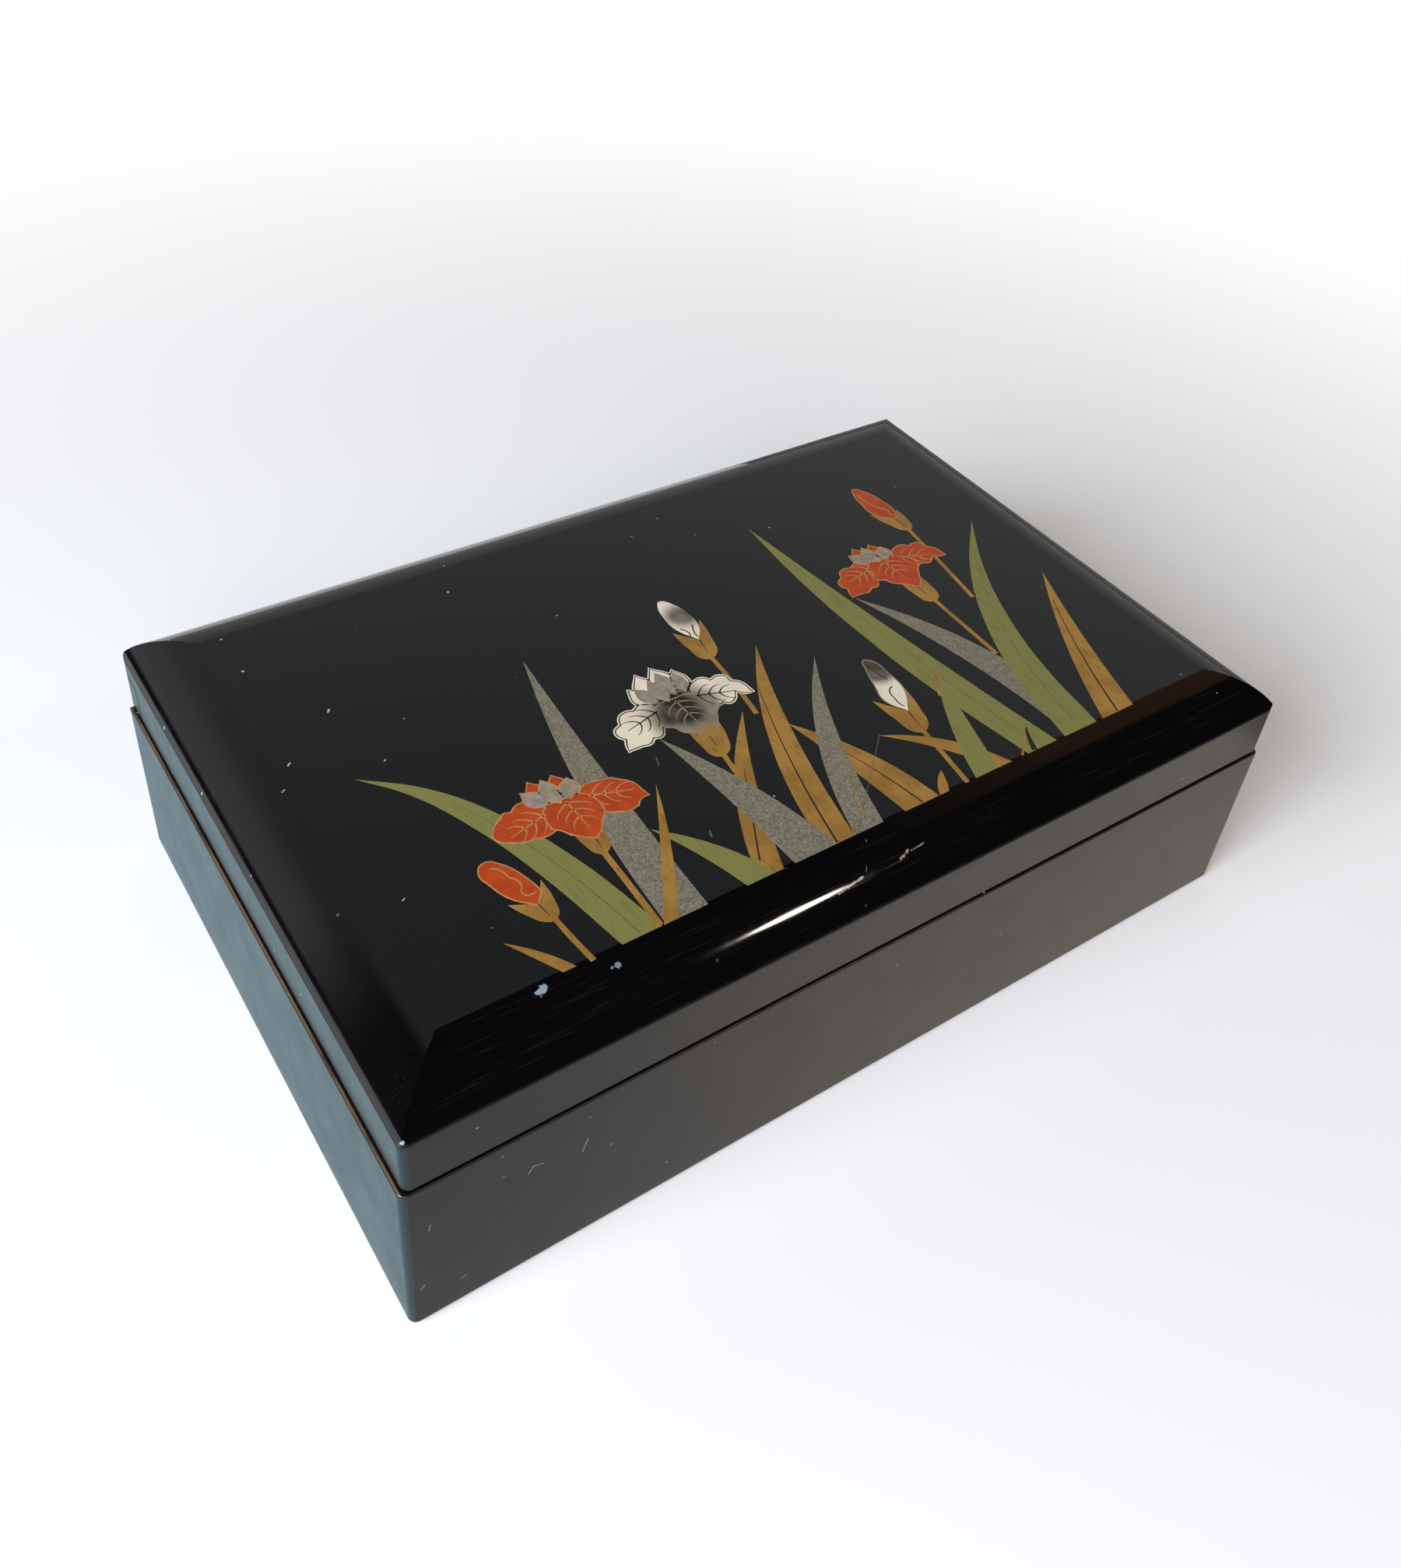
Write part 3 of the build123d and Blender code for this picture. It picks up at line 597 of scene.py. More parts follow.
def stroke(start, end, width, middle=None, end_width=TAPER):
    """A drawn line from start to end, straight or bowed, whose width changes to its end's."""
    start, end = Vector(start), Vector(end)
    middle = Vector(middle) if middle else (start + end) / 2
    left, right = [], []
    for share in (0.0, 0.25, 0.5, 0.75, 1.0):
        point = bowed(start, middle, end, share)
        ahead = bowed(start, middle, end, share + 0.01) - point
        across = Vector((ahead.y, -ahead.x)).normalized()
        half = across * width * (1 + (end_width - 1) * share) / 2
        corner = share in (0.0, 1.0)
        left.append((point.x - half.x, point.y - half.y, corner))
        right.append((point.x + half.x, point.y + half.y, corner))
    return left + right[::-1]


def grown(outline, margin):
    """An outline moved outwards all round, or inwards where the margin is below zero."""
    area = sum(a[0] * b[1] - b[0] * a[1] for a, b in zip(outline, outline[1:] + outline[:1]))
    side = margin if area > 0 else -margin
    result = []
    neighbours = zip(outline[-1:] + outline[:-1], outline, outline[1:] + outline[:1])
    for before, (x, y, corner), after in neighbours:
        along = Vector((after[0] - before[0], after[1] - before[1])).normalized()
        reach = side * (CORNER_REACH if corner else 1.0)
        result.append((x + along.y * reach, y - along.x * reach, corner))
    return result


def pointed(root, tip, width):
    """A small pointed petal or leaf from root to tip."""
    root, tip = Vector(root), Vector(tip)
    along = (tip - root).normalized()
    across = Vector((along.y, -along.x)) * width / 2
    middle = root + (tip - root) * PETAL_WIDEST
    sides = [(root, True), (middle - across, False), (tip, True), (middle + across, False)]
    return [(p.x, p.y, corner) for p, corner in sides]


def veins(root, tip, width, pairs=3):
    """A petal's middle vein and its side veins, which leave it in pairs and curve outwards."""
    root, tip = Vector(root), Vector(tip)
    along = tip - root
    across = Vector((along.y, -along.x)).normalized()
    lines = [stroke(root, tip - along * 0.08, VEIN_WIDTH)]
    for i in range(pairs):
        start = root + along * (0.06 + 0.24 * i)
        for side in (-1, 1):
            end = start + along * 0.3 + across * side * width * (0.36 - 0.06 * i)
            middle = (start + end) / 2 + along.normalized() * -0.25 + across * side * 0.45
            lines.append(stroke(start, end, SIDE_VEIN_WIDTH, middle))
    return lines


lid_black = lid_lacquer()
base_black = base_lacquer()
gold = gold_foil()
green = green_enamel()
flake = silver_flake()
orange = orange_enamel()
bright = bright_foil()
rim_ink = plain_ink("pale_gold_ink", "#b9824c", 0.5)
dark_ink = plain_ink("dark_brown_ink", "#20160d", 0.5)
olive_ink = plain_ink("olive_brown_ink", "#66683a", 0.5)
beige_ink = plain_ink("beige_ink", "#8f7d5f", 0.5)

# ---- Leaves: name, finish, layer, tip, the two feet's x, and the middles of the two sides
LEAVES = [
    ("leaf_left_small", gold, 0, (29.8, 22.0), (35.4, 37.9), (32.6, 16.9), (34.5, 17.0)),
    ("leaf_left_tall", green, 0, (24.4, 68.9), (46.6, 54.6), (37.3, 48.0), (43.1, 48.0)),
    ("leaf_silver_tall", flake, 0, (67.3, 83.8), (55.3, 63.9), (58.6, 46.0), (65.0, 47.0)),
    ("leaf_thread", gold, 4, (71.7, 40.6), (54.9, 57.9), (63.6, 26.4), (66.0, 26.8)),
    ("leaf_green_low", green, 2, (64.6, 31.6), (72.2, 78.3), (69.0, 21.8), (73.1, 22.2)),
    ("leaf_gold_half", gold, 0, (97.8, 49.5), (74.6, 80.1), (83.9, 32.2), (88.1, 31.2)),
    ("leaf_silver_half", flake, 2, (79.0, 50.7), (82.6, 92.2), (81.3, 31.0), (87.3, 31.5)),
    ("leaf_gold_tall", gold, 0, (112.1, 65.0), (89.3, 96.2), (97.4, 39.8), (102.8, 39.0)),
    ("leaf_silver_right", flake, 2, (120.8, 56.0), (96.2, 103.0), (105.8, 35.4), (110.4, 34.7)),
    ("leaf_gold_broad", gold, 0, (103.5, 42.0), (108.4, 116.7), (106.3, 27.0), (112.2, 27.6)),
    ("leaf_sprout", gold, 0, (121.6, 16.8), (116.9, 119.2), (119.0, 14.9), (120.5, 14.0)),
    ("leaf_gold_slant", gold, 0, (117.2, 30.5), (132.0, 135.6), (125.3, 21.8), (128.2, 22.9)),
    ("leaf_green_slant", green, 2, (140.5, 40.0), (126.1, 131.9), (132.2, 26.4), (136.2, 25.9)),
    ("leaf_green_great", green, 0, (135.5, 100.5), (140.0, 147.8), (134.3, 56.0), (141.0, 56.3)),
    ("leaf_silver_back", flake, 0, (141.0, 67.8), (151.5, 158.5), (148.4, 40.0), (154.6, 41.0)),
    ("leaf_green_right", green, 2, (185.3, 78.3), (150.1, 159.1), (161.6, 48.2), (167.4, 47.0)),
    ("leaf_gold_right", gold, 0, (186.0, 55.0), (160.9, 169.8), (172.3, 34.2), (177.3, 33.7)),
]
for name, finish, layer, tip, feet, left_middle, right_middle in LEAVES:
    inlay(name, [blade(tip, feet, left_middle, right_middle)], LEAF + layer, finish)

# ---- Ribs along the leaves: name, finish, layer, start, end, middle, width
RIBS = [
    ("rib_left_tall", olive_ink, 1, (50.5, 12.5), (37.5, 54.0), (45.3, 35.0), 0.3),
    ("rib_silver_tall", olive_ink, 1, (60.5, 46.0), (64.5, 74.0), (62.0, 60.0), 0.2),
    ("rib_gold_half", dark_ink, 1, (77.5, 15.5), (88.6, 36.0), (83.2, 26.0), 0.34),
    ("rib_gold_tall", dark_ink, 1, (92.3, 12.0), (104.8, 54.0), (97.6, 33.0), 0.4),
    ("rib_silver_right", gold, 3, (101.0, 15.0), (108.6, 32.0), (104.5, 23.5), 0.3),
    ("rib_gold_broad", dark_ink, 1, (112.8, 12.0), (108.2, 30.5), (110.7, 22.0), 0.36),
    ("rib_green_slant", gold, 3, (136.0, 33.5), (140.8, 40.6), (138.2, 37.0), 0.8),
    ("rib_green_great", olive_ink, 1, (143.5, 14.0), (136.4, 84.0), (138.6, 52.0), 0.22),
    ("rib_green_right", olive_ink, 3, (155.0, 14.0), (176.0, 66.0), (163.0, 43.0), 0.22),
    ("rib_gold_right", dark_ink, 1, (165.4, 12.0), (180.5, 46.0), (172.2, 29.0), 0.4),
    ("gold_edge_low", gold, 3, (138.6, 12.0), (145.4, 18.3), (142.0, 15.1), 0.5),
    ("dark_wedge_low", dark_ink, 2, (141.9, 11.9), (145.0, 17.8), (143.2, 14.8), 1.3),
]
for name, finish, layer, start, end, middle, width in RIBS:
    inlay(name, [stroke(start, end, width, middle)], LEAF + layer, finish)

# ---- Stems: name, start under the bloom, end at the foot or at the leaf in front, middle, width
STEMS = [
    ("left_bud_stem", (39.7, 22.6), (40.9, 11.4), (40.2, 17.0), 1.0),
    ("left_flower_stem", (54.6, 31.4), (54.3, 12.1), (54.5, 22.0), 1.15),
    ("middle_flower_stem", (87.5, 41.8), (86.7, 36.0), (87.1, 39.0), 1.0),
    ("middle_bud_stem", (101.7, 66.6), (99.8, 47.4), (101.0, 57.0), 1.0),
    ("low_bud_stem", (126.0, 27.6), (123.9, 11.8), (125.0, 19.7), 1.0),
    ("right_flower_stem", (156.5, 59.6), (155.9, 38.0), (156.2, 48.8), 0.95),
    ("right_bud_stem", (169.2, 82.8), (164.9, 55.4), (167.2, 69.2), 0.9),
]
for name, start, end, middle, width in STEMS:
    inlay(name, [stroke(start, end, width, middle, 1.1)], STEM, gold)

# ---- Calyxes: name, left tip, foot, right tip, the notch between, and the foot's width
CALYXES = [
    ("left_bud_calyx", (34.3, 28.7), (39.4, 22.0), (41.9, 30.9), (38.9, 26.4), 1.6),
    ("left_flower_calyx", (52.1, 37.5), (54.7, 30.8), (57.3, 36.5), (55.2, 35.6), 1.6),
    ("middle_flower_calyx", (85.0, 50.5), (87.3, 41.1), (92.0, 50.0), (88.3, 50.5), 2.6),
    ("middle_bud_calyx", (98.8, 76.6), (101.6, 66.2), (106.5, 77.8), (102.7, 72.0), 2.6),
    ("low_bud_calyx", (122.6, 39.1), (126.0, 27.2), (131.2, 39.6), (127.1, 33.0), 2.4),
    ("right_flower_calyx", (153.7, 67.5), (156.4, 58.8), (159.2, 68.0), (156.2, 67.0), 2.8),
    ("right_bud_calyx", (164.6, 91.7), (169.3, 82.4), (172.0, 90.7), (169.3, 87.4), 1.6),
]


def calyx(name, left_tip, foot, right_tip, notch, foot_width):
    """The sheath that holds a bloom: two pointed leaves that part at a notch."""
    left_tip, foot, right_tip = Vector(left_tip), Vector(foot), Vector(right_tip)
    half = Vector((foot_width / 2, 0))
    left = left_tip.lerp(foot - half, 0.5) + Vector((-0.55, 0.0))
    right = right_tip.lerp(foot + half, 0.5) + Vector((0.75, -0.3))
    points = [(left_tip, True), (left, False), (foot - half, False), (foot + half, False)]
    points += [(right, False), (right_tip, True), (Vector(notch), True)]
    inlay(name, [[(p.x, p.y, corner) for p, corner in points]], CALYX, gold)
    seam = stroke(notch, foot.lerp(Vector(notch), 0.25), SEAM_WIDTH)
    inlay(name + "_seam", [seam], PETAL, dark_ink)


for name, left_tip, foot, right_tip, notch, foot_width in CALYXES:
    calyx(name, left_tip, foot, right_tip, notch, foot_width)

# ---- Buds: the outline from the notch round by the left
BUDS = {
    "left_bud": [
        (38.8, 26.4, True), (35.6, 29.6, False), (33.9, 34.0, False), (33.4, 37.4, False),
        (35.3, 39.0, False), (37.4, 37.5, False), (40.0, 32.0, False), (40.6, 28.7, True),
    ],
    "middle_bud": [
        (102.7, 72.2, True), (100.2, 77.2, False), (100.1, 82.0, False), (101.0, 85.6, False),
        (102.3, 87.0, False), (104.3, 85.0, False), (105.6, 80.0, False), (105.2, 76.0, False),
    ],
    "low_bud": [
        (127.2, 33.2, True), (125.0, 38.0, False), (126.2, 42.5, False), (128.0, 47.8, False),
        (129.0, 49.8, False), (130.4, 49.0, False), (131.0, 44.0, False), (130.7, 39.0, False),
    ],
    "right_bud": [
        (169.3, 87.5, True), (165.9, 91.0, False), (165.9, 96.0, False), (166.9, 100.4, False),
        (168.0, 101.9, False), (169.7, 100.0, False), (171.1, 94.5, False), (171.2, 90.8, False),
    ],
}
# The lines where a bud's petals meet, each as start, end and middle
BUD_LINES = {
    "left_bud": [
        ((35.5, 37.4), (37.4, 34.0), (36.9, 36.2)),
        ((37.4, 34.0), (37.8, 30.4), (38.5, 32.2)),
        ((37.8, 30.4), (40.0, 28.9), (38.2, 29.0)),
    ],
    "middle_bud": [
        ((101.1, 77.0), (101.6, 73.8), (102.0, 75.2)),
        ((104.2, 77.0), (103.0, 73.0), (103.2, 74.8)),
    ],
    "low_bud": [
        ((129.2, 40.6), (127.2, 37.4), (127.6, 39.6)),
        ((127.2, 37.4), (127.4, 34.6), (127.0, 36.0)),
        ((128.6, 48.6), (129.6, 42.8), (128.9, 45.8)),
    ],
    "right_bud": [
        ((167.6, 100.0), (168.6, 93.0), (167.4, 96.6)),
        ((168.6, 93.0), (169.4, 89.0), (169.6, 91.0)),
    ],
}
# A bud's fill, the rim round it if it has one, and its lines
BUD_FINISHES = {
    "left_bud": (orange, rim_ink, rim_ink),
    "middle_bud": (bright, None, dark_ink),
    "low_bud": (bright, beige_ink, dark_ink),
    "right_bud": (orange, rim_ink, rim_ink),
}
for name, outline in BUDS.items():
    fill, rim, line = BUD_FINISHES[name]
    if rim:
        inlay(name + "_rim", [grown(outline, BUD_RIM_WIDTH)], RIM, rim)
    inlay(name, [outline], PETAL, fill)
    lines = []
    for start, end, middle in BUD_LINES[name]:
        lines.append(stroke(start, end, BUD_LINE_WIDTH, middle, 0.8))
    inlay(name + "_lines", lines, VEIN, line)

# ---- Flowers. Places are in millimetres about the flower's heart. Falls are the petals that
# spread to the sides and hang in front, each an outline, and standards the upright ones.
SPREAD_FALLS = {
    "left": [
        (-3.0, -1.0, True), (-4.3, 1.6, False), (-6.2, 2.4, False), (-8.0, 2.5, False),
        (-9.7, 1.3, True), (-11.1, 1.7, False), (-12.0, 0.9, True), (-14.0, -0.4, False),
        (-15.3, -2.3, True), (-14.8, -3.8, False), (-12.6, -5.2, True), (-11.0, -6.0, False),
        (-8.9, -6.1, True), (-7.6, -6.6, False), (-5.4, -6.4, False), (-3.4, -5.2, True),
    ],
    "right": [
        (3.4, -0.6, True), (4.8, 0.8, False), (7.5, 0.7, False), (10.6, 0.0, True),
        (11.6, -1.0, False), (12.4, -1.7, True), (13.5, -3.2, False), (13.9, -5.4, False),
        (14.3, -6.9, True), (12.6, -7.0, False), (11.2, -8.2, True), (9.3, -8.5, False),
        (6.7, -7.5, True), (5.4, -6.7, False), (4.4, -4.6, True),
    ],
    "middle": [
        (0.4, -0.4, False), (-2.2, -0.3, False), (-4.4, -1.2, False), (-5.1, -3.4, False),
        (-5.2, -5.7, True), (-4.0, -6.8, False), (-3.0, -8.4, True), (-1.6, -9.8, False),
        (0.4, -11.3, True), (2.0, -10.2, False), (3.2, -8.6, True), (4.2, -7.4, False),
        (5.1, -6.4, True), (5.3, -4.0, False), (4.5, -1.4, False), (2.8, -0.4, False),
    ],
}
DROOPING_FALLS = {
    "left": [
        (-3.0, -2.6, True), (-4.6, 0.6, False), (-6.4, 1.5, False), (-8.7, 0.5, True),
        (-10.6, 0.9, False), (-12.3, 0.0, False), (-13.1, -1.8, True), (-14.9, -2.8, False),
        (-15.2, -4.4, False), (-14.3, -5.9, True), (-15.0, -7.2, False), (-15.5, -9.0, True),
        (-12.6, -9.0, False), (-10.6, -9.2, False), (-9.3, -8.2, True), (-7.6, -8.5, False),
        (-6.0, -6.5, True), (-4.4, -6.9, False),
    ],
    "right": [
        (3.4, -1.6, True), (5.0, 1.2, False), (7.0, 2.2, False), (8.8, 2.2, False),
        (10.0, 0.9, True), (12.0, 1.3, False), (13.3, 0.4, False), (13.5, -1.3, True),
        (15.0, -2.6, False), (15.6, -6.4, True), (13.8, -5.9, False), (12.5, -4.6, True),
        (11.2, -6.3, False), (9.6, -6.9, False), (8.4, -6.1, True), (7.0, -6.4, False),
        (4.6, -5.0, False),
    ],
    "middle": [
        (0.0, -0.5, False), (-3.2, -0.5, False), (-5.2, -2.0, False), (-5.9, -4.4, False),
        (-5.5, -6.4, False), (-4.0, -7.4, True), (-3.2, -9.4, False), (-1.6, -10.6, False),
        (0.2, -12.2, False), (1.6, -13.4, True), (3.0, -12.0, False), (4.2, -10.0, False),
        (5.5, -7.7, True), (7.2, -5.8, False), (6.0, -2.4, False), (3.6, -0.6, False),
    ],
}
# Each fall's middle vein from root to tip, and how far the side veins spread
FALL_VEINS = {
    "left": ((-4.6, -2.0), (-13.4, -4.2), 9.0),
    "right": ((4.6, -1.8), (13.4, -4.6), 8.4),
    "middle": ((0.2, -1.0), (0.7, -9.2), 10.4),
}
# Standards of the crown, each as (root, tip, width)
SPREAD_CROWN = {
    "back": [((-3.0, 0.2), (-3.6, 6.6), 3.5), ((1.0, 0.2), (1.1, 6.1), 3.5)],
    "inner": [
        ((-3.2, -0.4), (-6.0, 4.7), 3.6),
        ((-1.2, -0.2), (-1.2, 5.9), 3.4),
        ((1.8, -0.6), (3.3, 4.1), 3.8),
    ],
    "front": [((-0.8, -0.7), (-1.1, 3.2), 3.0), ((1.5, -0.7), (1.8, 3.4), 3.0)],
}
DROOPING_CROWN = {
    "back": [
        ((-3.0, 0.4), (-2.8, 9.3), 5.0),
        ((1.5, 0.4), (0.9, 9.8), 5.4),
        ((-3.6, -0.4), (-6.5, 6.1), 4.8),
        ((3.4, -0.2), (4.7, 7.2), 4.4),
    ],
    "inner": [
        ((-3.2, 0.2), (-5.2, 5.5), 2.8),
        ((1.4, 0.8), (1.1, 7.8), 3.2),
        ((3.7, 0.4), (4.4, 6.3), 2.6),
    ],
    "front": [((-0.9, -0.5), (-1.5, 6.5), 3.4)],
}


def flower(name, heart, falls, crown, stretch, finishes):
    """An open iris: a crown of standards with a fall on each side and one hanging in front. A
    foil flower has a dark line let in just inside the edges of its outer petals."""
    heart = Vector(heart)
    back, inner, fall, rim, inner_rim, line, front_line = finishes
    foil = rim is fall

    def at(x, y):
        return (heart.x + x * stretch[0], heart.y + y * stretch[1])

    def placed(outline):
        return [(*at(x, y), corner) for x, y, corner in outline]

    def standards(part, grow=0.0):
        outlines = []
        for root, tip, width in crown[part]:
            outlines.append(pointed(at(*root), at(*tip), width * stretch[0]))
        return [grown(outline, grow) for outline in outlines] if grow else outlines

    inlay(name + "_back_standard_rims", standards("back", RIM_WIDTH), RIM, rim)
    if foil:
        inlay(name + "_back_standard_lines", standards("back"), FOIL_LINE, line)
    inlay(name + "_back_standards", standards("back", -LINE_WIDTH if foil else 0.0), PETAL, back)
    for side in ("left", "right"):
        outline = placed(falls[side])
        inlay(f"{name}_{side}_fall_rim", [grown(outline, RIM_WIDTH)], RIM, rim)
        if foil:
            inlay(f"{name}_{side}_fall_line", [outline], FOIL_LINE, line)
            outline = grown(outline, -LINE_WIDTH)
        inlay(f"{name}_{side}_fall", [outline], PETAL, fall)
        root, tip, width = FALL_VEINS[side]
        inlay(f"{name}_{side}_fall_veins", veins(at(*root), at(*tip), width), VEIN, line)
    inlay(name + "_inner_standard_rims", standards("inner", RIM_WIDTH), INNER_RIM, inner_rim)
    inlay(name + "_inner_standards", standards("inner"), INNER_PETAL, inner)
    inlay(name + "_front_standard_rims", standards("front", RIM_WIDTH), FRONT_RIM, inner_rim)
    inlay(name + "_front_standards", standards("front"), FRONT_PETAL, inner)
    outline = placed(falls["middle"])
    inlay(f"{name}_middle_fall_rim", [grown(outline, RIM_WIDTH)], INNER_RIM, inner_rim)
    inlay(f"{name}_middle_fall", [outline], INNER_PETAL, fall)
    root, tip, width = FALL_VEINS["middle"]
    inlay(f"{name}_middle_fall_veins", veins(at(*root), at(*tip), width), VEIN, front_line)


pale_silver = plain_ink("pale_silver_enamel", "#94897a", 0.4)
# Finishes: the back standards, the other standards, the falls, the outer rims, the inner rims,
# the veins, and the front fall's veins
enamelled = (orange, pale_silver, orange, rim_ink, rim_ink, rim_ink, rim_ink)
silvered = (bright, pale_silver, bright, bright, beige_ink, dark_ink, beige_ink)
flower("left_flower", (54.8, 46.0), SPREAD_FALLS, SPREAD_CROWN, (1.0, 1.0), enamelled)
flower("middle_flower", (87.5, 59.5), DROOPING_FALLS, DROOPING_CROWN, (1.0, 1.0), silvered)
flower("right_flower", (155.4, 76.4), DROOPING_FALLS, SPREAD_CROWN, (0.94, 0.9), enamelled)

# A fine scratch runs across the ornament and on over the front roll
scratch_ink = plain_ink("scratch_grey", "#6a655c", 0.5)
scratch = stroke((117.5, 30.5), (97.0, 12.0), SCRATCH_WIDTH, end_width=1.0)
inlay("long_scratch", [scratch], VEIN, scratch_ink)

# ---------------------------------------------------------------- finishes of the solids

satin = satin_lacquer()
pile = velvet()
felt = wool_felt()
board = painted_board()
brass = tumbled_brass()
glass = silvered_glass()
for node_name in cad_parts:
    if node_name == "base_shell":
        paint(node_name, base_black)
    elif node_name in ("lid_shell", "lid_back_rail"):
        paint(node_name, lid_black)
    elif node_name.startswith("tray_") and node_name != "tray_floor_lining":
        paint(node_name, satin)
    elif "hinge" in node_name or "screws" in node_name:
        paint(node_name, brass)
    elif "felt" in node_name:
        paint(node_name, felt)
    elif node_name == "bottom_panel":
        paint(node_name, board)
    elif node_name == "mirror":
        paint(node_name, glass)
    else:
        paint(node_name, pile)

# ---------------------------------------------------------------- studio

FLOOR_HALF = 6.0
FLOOR_CUT = 0.01  # the canopy goes on this far below the floor
DOME_RADIUS = 1.6


def stage_object(name, shape, material):
    """A piece of the studio, which isn't part of the object."""
    mesh = bpy.data.meshes.new(name)
    shape.to_mesh(mesh)
    shape.free()
    mesh.materials.append(material)
    piece = bpy.data.objects.new(name, mesh)
    bpy.context.scene.collection.objects.link(piece)
    return piece


def floor_paper():
    """Matt white paper, lit from below as well, a little near the case and more farther out, so
    that it turns to plain white there and keeps the case's shadow here."""
    material, tree = new_material("white_floor_paper")
    glow = add(tree, "Emission", {"Color": linear("#ffffff"), "Strength": 1.0})
    matt = add(tree, "BsdfDiffuse", {"Color": linear("#f4f4f4")})
    reach = add(tree, "VectorMath", (place_of(tree),), operation="LENGTH").outputs["Value"]
    share = add(tree, "MapRange", (reach, 0.14, 0.50, 0.15, 1.0), **SMOOTH)
    add(tree, "OutputMaterial", {"Surface": add(tree, "MixShader", (share, matt, glow))})
    return material


def grey_part(tree, x, y, z):
    """Where the canopy is grey: behind the line that the lid's top mirrors at its front edge. On
    the left the grey starts farther back and stops above the floor."""
    lean = add(tree, "Math", (z, 0.575), operation="MULTIPLY")
    edge = add(tree, "Math", (y, lean), operation="SUBTRACT")
    grey = add(tree, "MapRange", (edge, -0.06, 0.0), **SMOOTH)
    at_left = add(tree, "MapRange", (x, -0.05, -0.35), **SMOOTH)
    far_back = add(tree, "MapRange", (y, 0.5, 0.6), **SMOOTH)
    off_floor = add(tree, "MapRange", (z, 0.05, 0.15), **SMOOTH)
    left_part = add(tree, "Math", (far_back, off_floor), operation="MULTIPLY")
    not_left_part = add(tree, "Math", (1.0, left_part), operation="SUBTRACT")
    hidden = add(tree, "Math", (at_left, not_left_part), operation="MULTIPLY")
    shown = add(tree, "Math", (1.0, hidden), operation="SUBTRACT")
    return add(tree, "Math", (grey, shown), operation="MULTIPLY")


def glowing_canopy_cloth():
    """A dome hung over the set that glows by its own emission, painted light which the lacquer
    mirrors: grey behind and to the right, brown at the right in front, and nearly black elsewhere."""
    material, tree = new_material("glowing_canopy_cloth")
    position = add(tree, "SeparateXYZ", {"Vector": place_of(tree, (1 / DOME_RADIUS,) * 3)})
    x, y, z = (position.outputs[axis] for axis in "XYZ")
    at_right = add(tree, "MapRange", (x, 0.48, 0.68), **SMOOTH)
    not_front = add(tree, "MapRange", (y, -0.15, -0.02), **SMOOTH)
    brown = add(tree, "Math", (at_right, not_front), operation="MULTIPLY")
    inputs = {SHARE: brown, FIRST: linear("#020204"), SECOND: linear("#7f593f")}
    dark = add(tree, "Mix", inputs, **COLOURS).outputs[BLEND]
    high = add(tree, "MapRange", (z, 0.45, 0.8), **SMOOTH)
    inputs = {SHARE: high, FIRST: linear("#b4b5b3"), SECOND: linear("#838686")}
    cloth = add(tree, "Mix", inputs, **COLOURS).outputs[BLEND]
    inputs = {SHARE: grey_part(tree, x, y, z), FIRST: dark, SECOND: cloth}
    colour = add(tree, "Mix", inputs, **COLOURS).outputs[BLEND]
    # The cloth's colours glow at strength 1: painted light for the lacquer to mirror
    shader = add(tree, "Emission", {"Color": colour, "Strength": 1.0})
    add(tree, "OutputMaterial", {"Surface": shader})
    return material


floor_shape = bmesh.new()
bmesh.ops.create_grid(floor_shape, x_segments=1, y_segments=1, size=FLOOR_HALF)
stage_object("floor", floor_shape, floor_paper())

dome_shape = bmesh.new()
bmesh.ops.create_uvsphere(dome_shape, u_segments=48, v_segments=24, radius=DOME_RADIUS)
bmesh.ops.bisect_plane(
    dome_shape,
    geom=dome_shape.verts[:] + dome_shape.edges[:] + dome_shape.faces[:],
    plane_co=(0, 0, -FLOOR_CUT),
    plane_no=(0, 0, 1),
    clear_inner=True,
)
canopy = stage_object("canopy", dome_shape, glowing_canopy_cloth())
canopy.visible_camera = False


def glowing_card(name, left_colour, right_colour):
    """A tinted sheet that glows by its own emission, changing from one tint to the other across
    the case: a painted reflection.
    """
    material, tree = new_material(name)
    x = add(tree, "SeparateXYZ", {"Vector": place_of(tree)}).outputs["X"]
    share = add(tree, "MapRange", (x, -0.09, 0.02), **SMOOTH)
    inputs = {SHARE: share, FIRST: linear(left_colour), SECOND: linear(right_colour)}
    colour = add(tree, "Mix", inputs, **COLOURS).outputs[BLEND]
    shader = add(tree, "Emission", {"Color": colour, "Strength": 1.0})
    add(tree, "OutputMaterial", {"Surface": shader})
    return material


def reflection_card(name, corners, material):
    """A glowing card out of the camera's sight, which only the lacquer and the mirror show: a
    painted reflection.
    """
    shape = bmesh.new()
    shape.faces.new([shape.verts.new(corner) for corner in corners])
    card = stage_object(name, shape, material)
    card.visible_camera = False
    card.visible_diffuse = False
    card.visible_shadow = False


# Three glowing cards, painted reflections in the case's sides: one lies on the floor at the left
# and one in front, and one stands at the right
CARD_REACH = 0.14
CARD_LIFT = 0.5 * MM
CARD_GAP = 0.3 * MM
CARD_BACK = 0.25
card_left = case_left - CARD_GAP
card_front = case_front - CARD_GAP
outer_left = card_left - CARD_REACH
outer_front = card_front - CARD_REACH
outer_right = lid_high[0] + CARD_REACH
left_card = [
    (outer_left, outer_front, CARD_LIFT),
    (card_left, outer_front, CARD_LIFT),
    (card_left, CARD_BACK, CARD_LIFT),
    (outer_left, CARD_BACK, CARD_LIFT),
]
front_card = [
    (card_left, outer_front, CARD_LIFT),
    (outer_right, outer_front, CARD_LIFT),
    (outer_right, card_front, CARD_LIFT),
    (card_left, card_front, CARD_LIFT),
]
RIGHT_CARD_X = lid_high[0] + 50 * MM
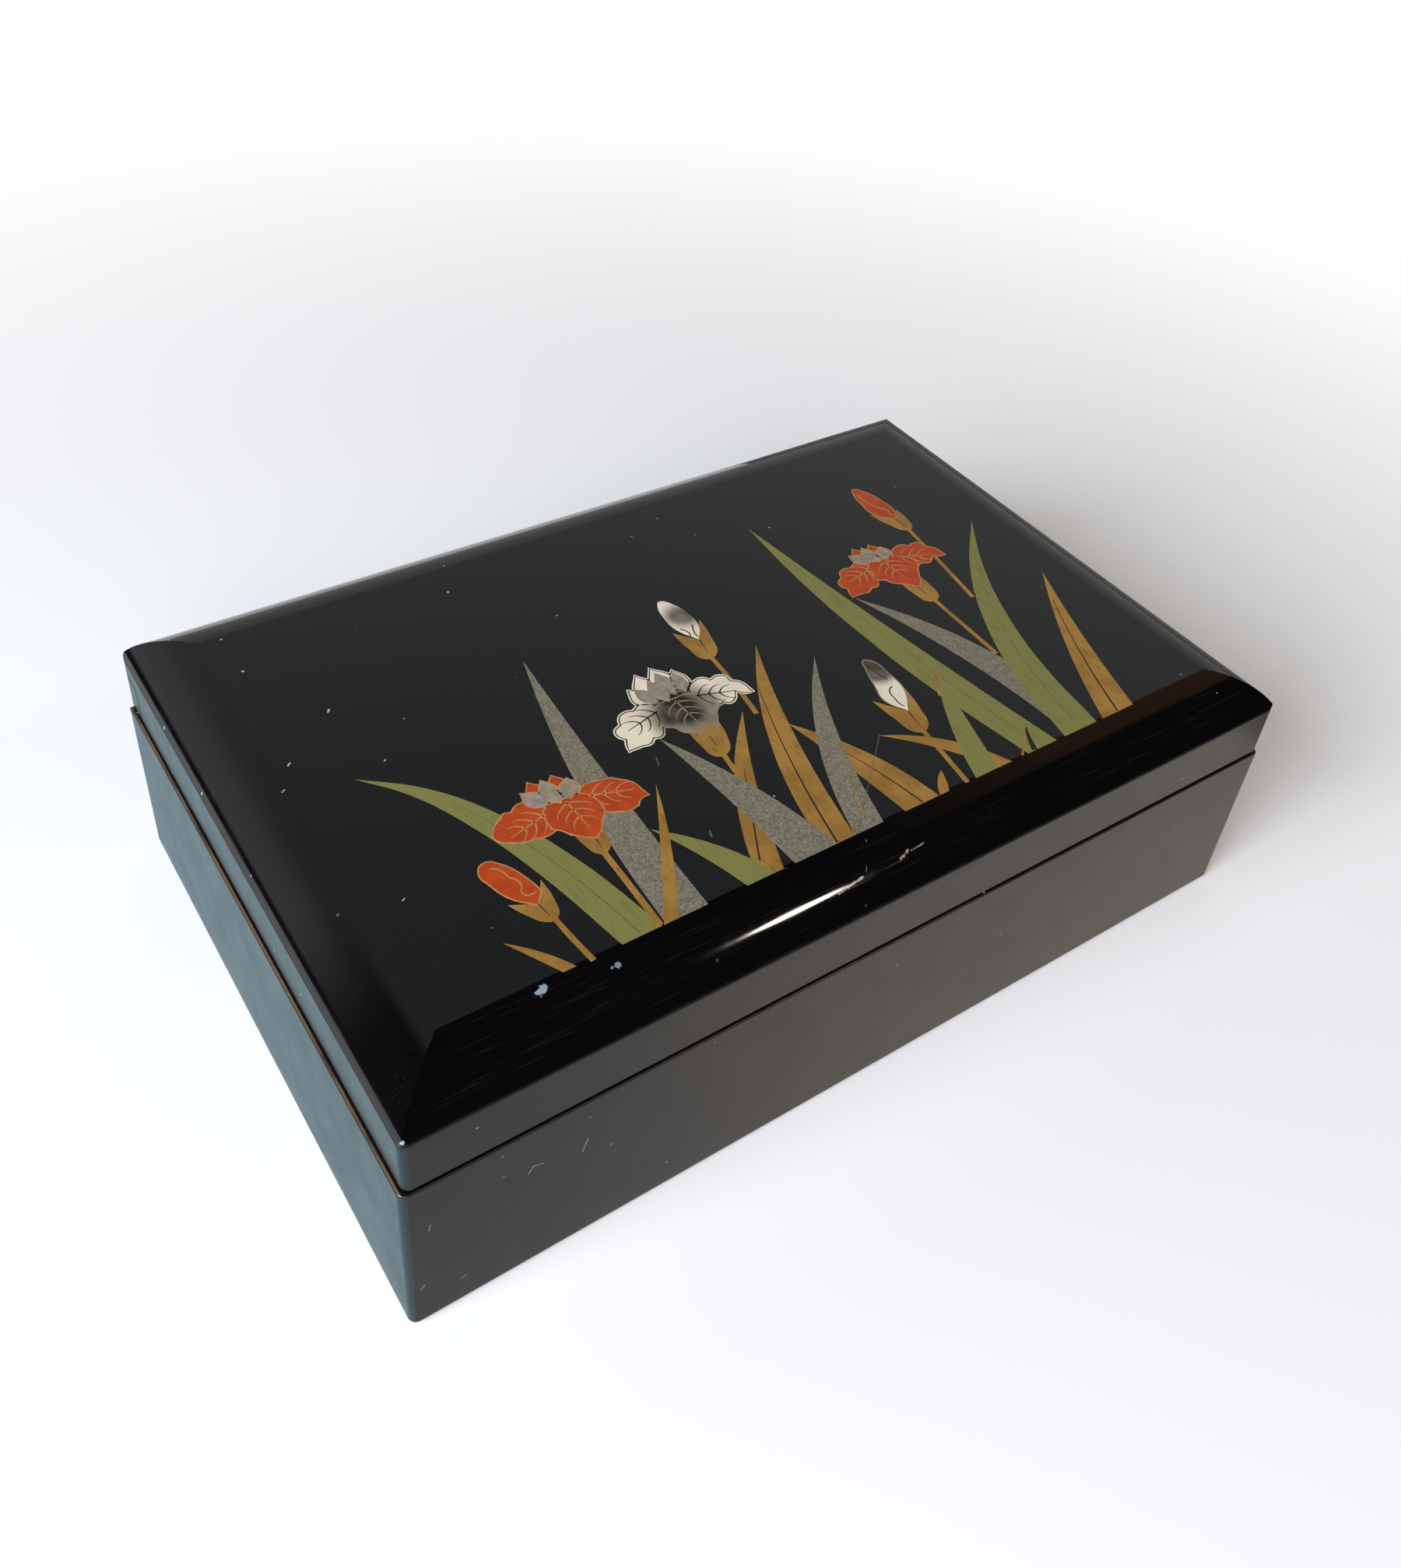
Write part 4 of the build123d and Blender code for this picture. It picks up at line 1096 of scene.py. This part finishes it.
RIGHT_CARD_FRONT = -0.10
RIGHT_CARD_BACK = 0.22
RIGHT_CARD_HEIGHT = 0.062
right_card = [
    (RIGHT_CARD_X, RIGHT_CARD_FRONT, 0.0),
    (RIGHT_CARD_X, RIGHT_CARD_BACK, 0.0),
    (RIGHT_CARD_X, RIGHT_CARD_BACK, RIGHT_CARD_HEIGHT),
    (RIGHT_CARD_X, RIGHT_CARD_FRONT, RIGHT_CARD_HEIGHT),
]
reflection_card("left_card", left_card, glowing_card("blue_grey_card", "#c8e7f3", "#c8e7f3"))
reflection_card("front_card", front_card, glowing_card("warm_grey_card", "#c0c0c1", "#e4dace"))
reflection_card("right_card", right_card, glowing_card("mid_grey_card", "#7c7c7a", "#7c7c7a"))

world = bpy.data.worlds.new("white_studio")
bpy.context.scene.world = world
world.use_nodes = True
world.node_tree.nodes["Background"].inputs["Color"].default_value = (1, 1, 1, 1)
world.node_tree.nodes["Background"].inputs["Strength"].default_value = 1.0

CASE_MIDDLE = (0, 0, 0.04)
UPWARD = (0, 0, 1)
# The lid's front roll mirrors the small lamp as a streak, at a place on the roll and on a line
STREAK_PLACE = (-0.024, -0.0619, 0.0575)
STREAK_LINE = (0.0546, 0.0139, -0.0145)
# Lamps: name, direction, distance, the two sizes, power, colour, target, and the line that the
# long side lies along
LAMPS = [
    ("window_left", (-0.86, -0.18, 0.46), 1.3, (0.8, 0.8), 29.5, "#ebf3ff", CASE_MIDDLE, UPWARD),
    ("room_front", (-0.42, -0.78, 0.60), 1.3, (0.5, 0.5), 6.0, "#ffefe0", CASE_MIDDLE, UPWARD),
    (
        "small_lamp", (0.461, -0.551, 0.696), 0.8, (0.08, 0.075), 0.5, "#fff4e4",
        STREAK_PLACE, STREAK_LINE,
    ),
]


def turned_to(place, right, up, back):
    """A place and three directions as the matrix of a lamp or a camera."""
    return Matrix.Translation(place) @ Matrix((right, up, back)).transposed().to_4x4()


def soft_light(name, direction, distance, size, power, colour, target, along):
    """A flat soft light, facing its target from a direction, with its long side along a line."""
    lamp = bpy.data.lights.new(name, "AREA")
    lamp.shape = "ELLIPSE"
    lamp.size, lamp.size_y = size
    lamp.energy = power
    lamp.color = linear(colour)[:3]
    light = bpy.data.objects.new(name, lamp)
    facing = Vector(direction).normalized()
    upright = (Vector(along) - facing * facing.dot(Vector(along))).normalized()
    place = Vector(target) + facing * distance
    light.matrix_world = turned_to(place, upright.cross(facing), upright, facing)
    bpy.context.scene.collection.objects.link(light)


for lamp_row in LAMPS:
    soft_light(*lamp_row)

# ---------------------------------------------------------------- camera

# The photograph was taken by hand from the front left and above, about 0.35 m away.
PICTURE_LONG_SIDE = 36.0
CAMERA_PLACE = Vector((-0.14534, -0.18474, 0.25403))
CAMERA_RIGHT = Vector((0.82471, -0.56008, 0.07849))
CAMERA_FORWARD = Vector((0.47860, 0.61722, -0.62448))
camera_data = bpy.data.cameras.new("camera")
camera_data.sensor_fit = "AUTO"
camera_data.sensor_width = PICTURE_LONG_SIDE
camera_data.lens = 34.0
camera_data.shift_x = -0.0060
camera_data.shift_y = -0.0954
camera_data.clip_start = 0.01
camera = bpy.data.objects.new("camera", camera_data)
camera_back = -CAMERA_FORWARD.normalized()
camera_right = (CAMERA_RIGHT - CAMERA_RIGHT.dot(camera_back) * camera_back).normalized()
camera_up = camera_back.cross(camera_right)
camera.matrix_world = turned_to(CAMERA_PLACE, camera_right, camera_up, camera_back)
bpy.context.scene.collection.objects.link(camera)
bpy.context.scene.camera = camera

bpy.context.scene.view_settings.view_transform = "Standard"
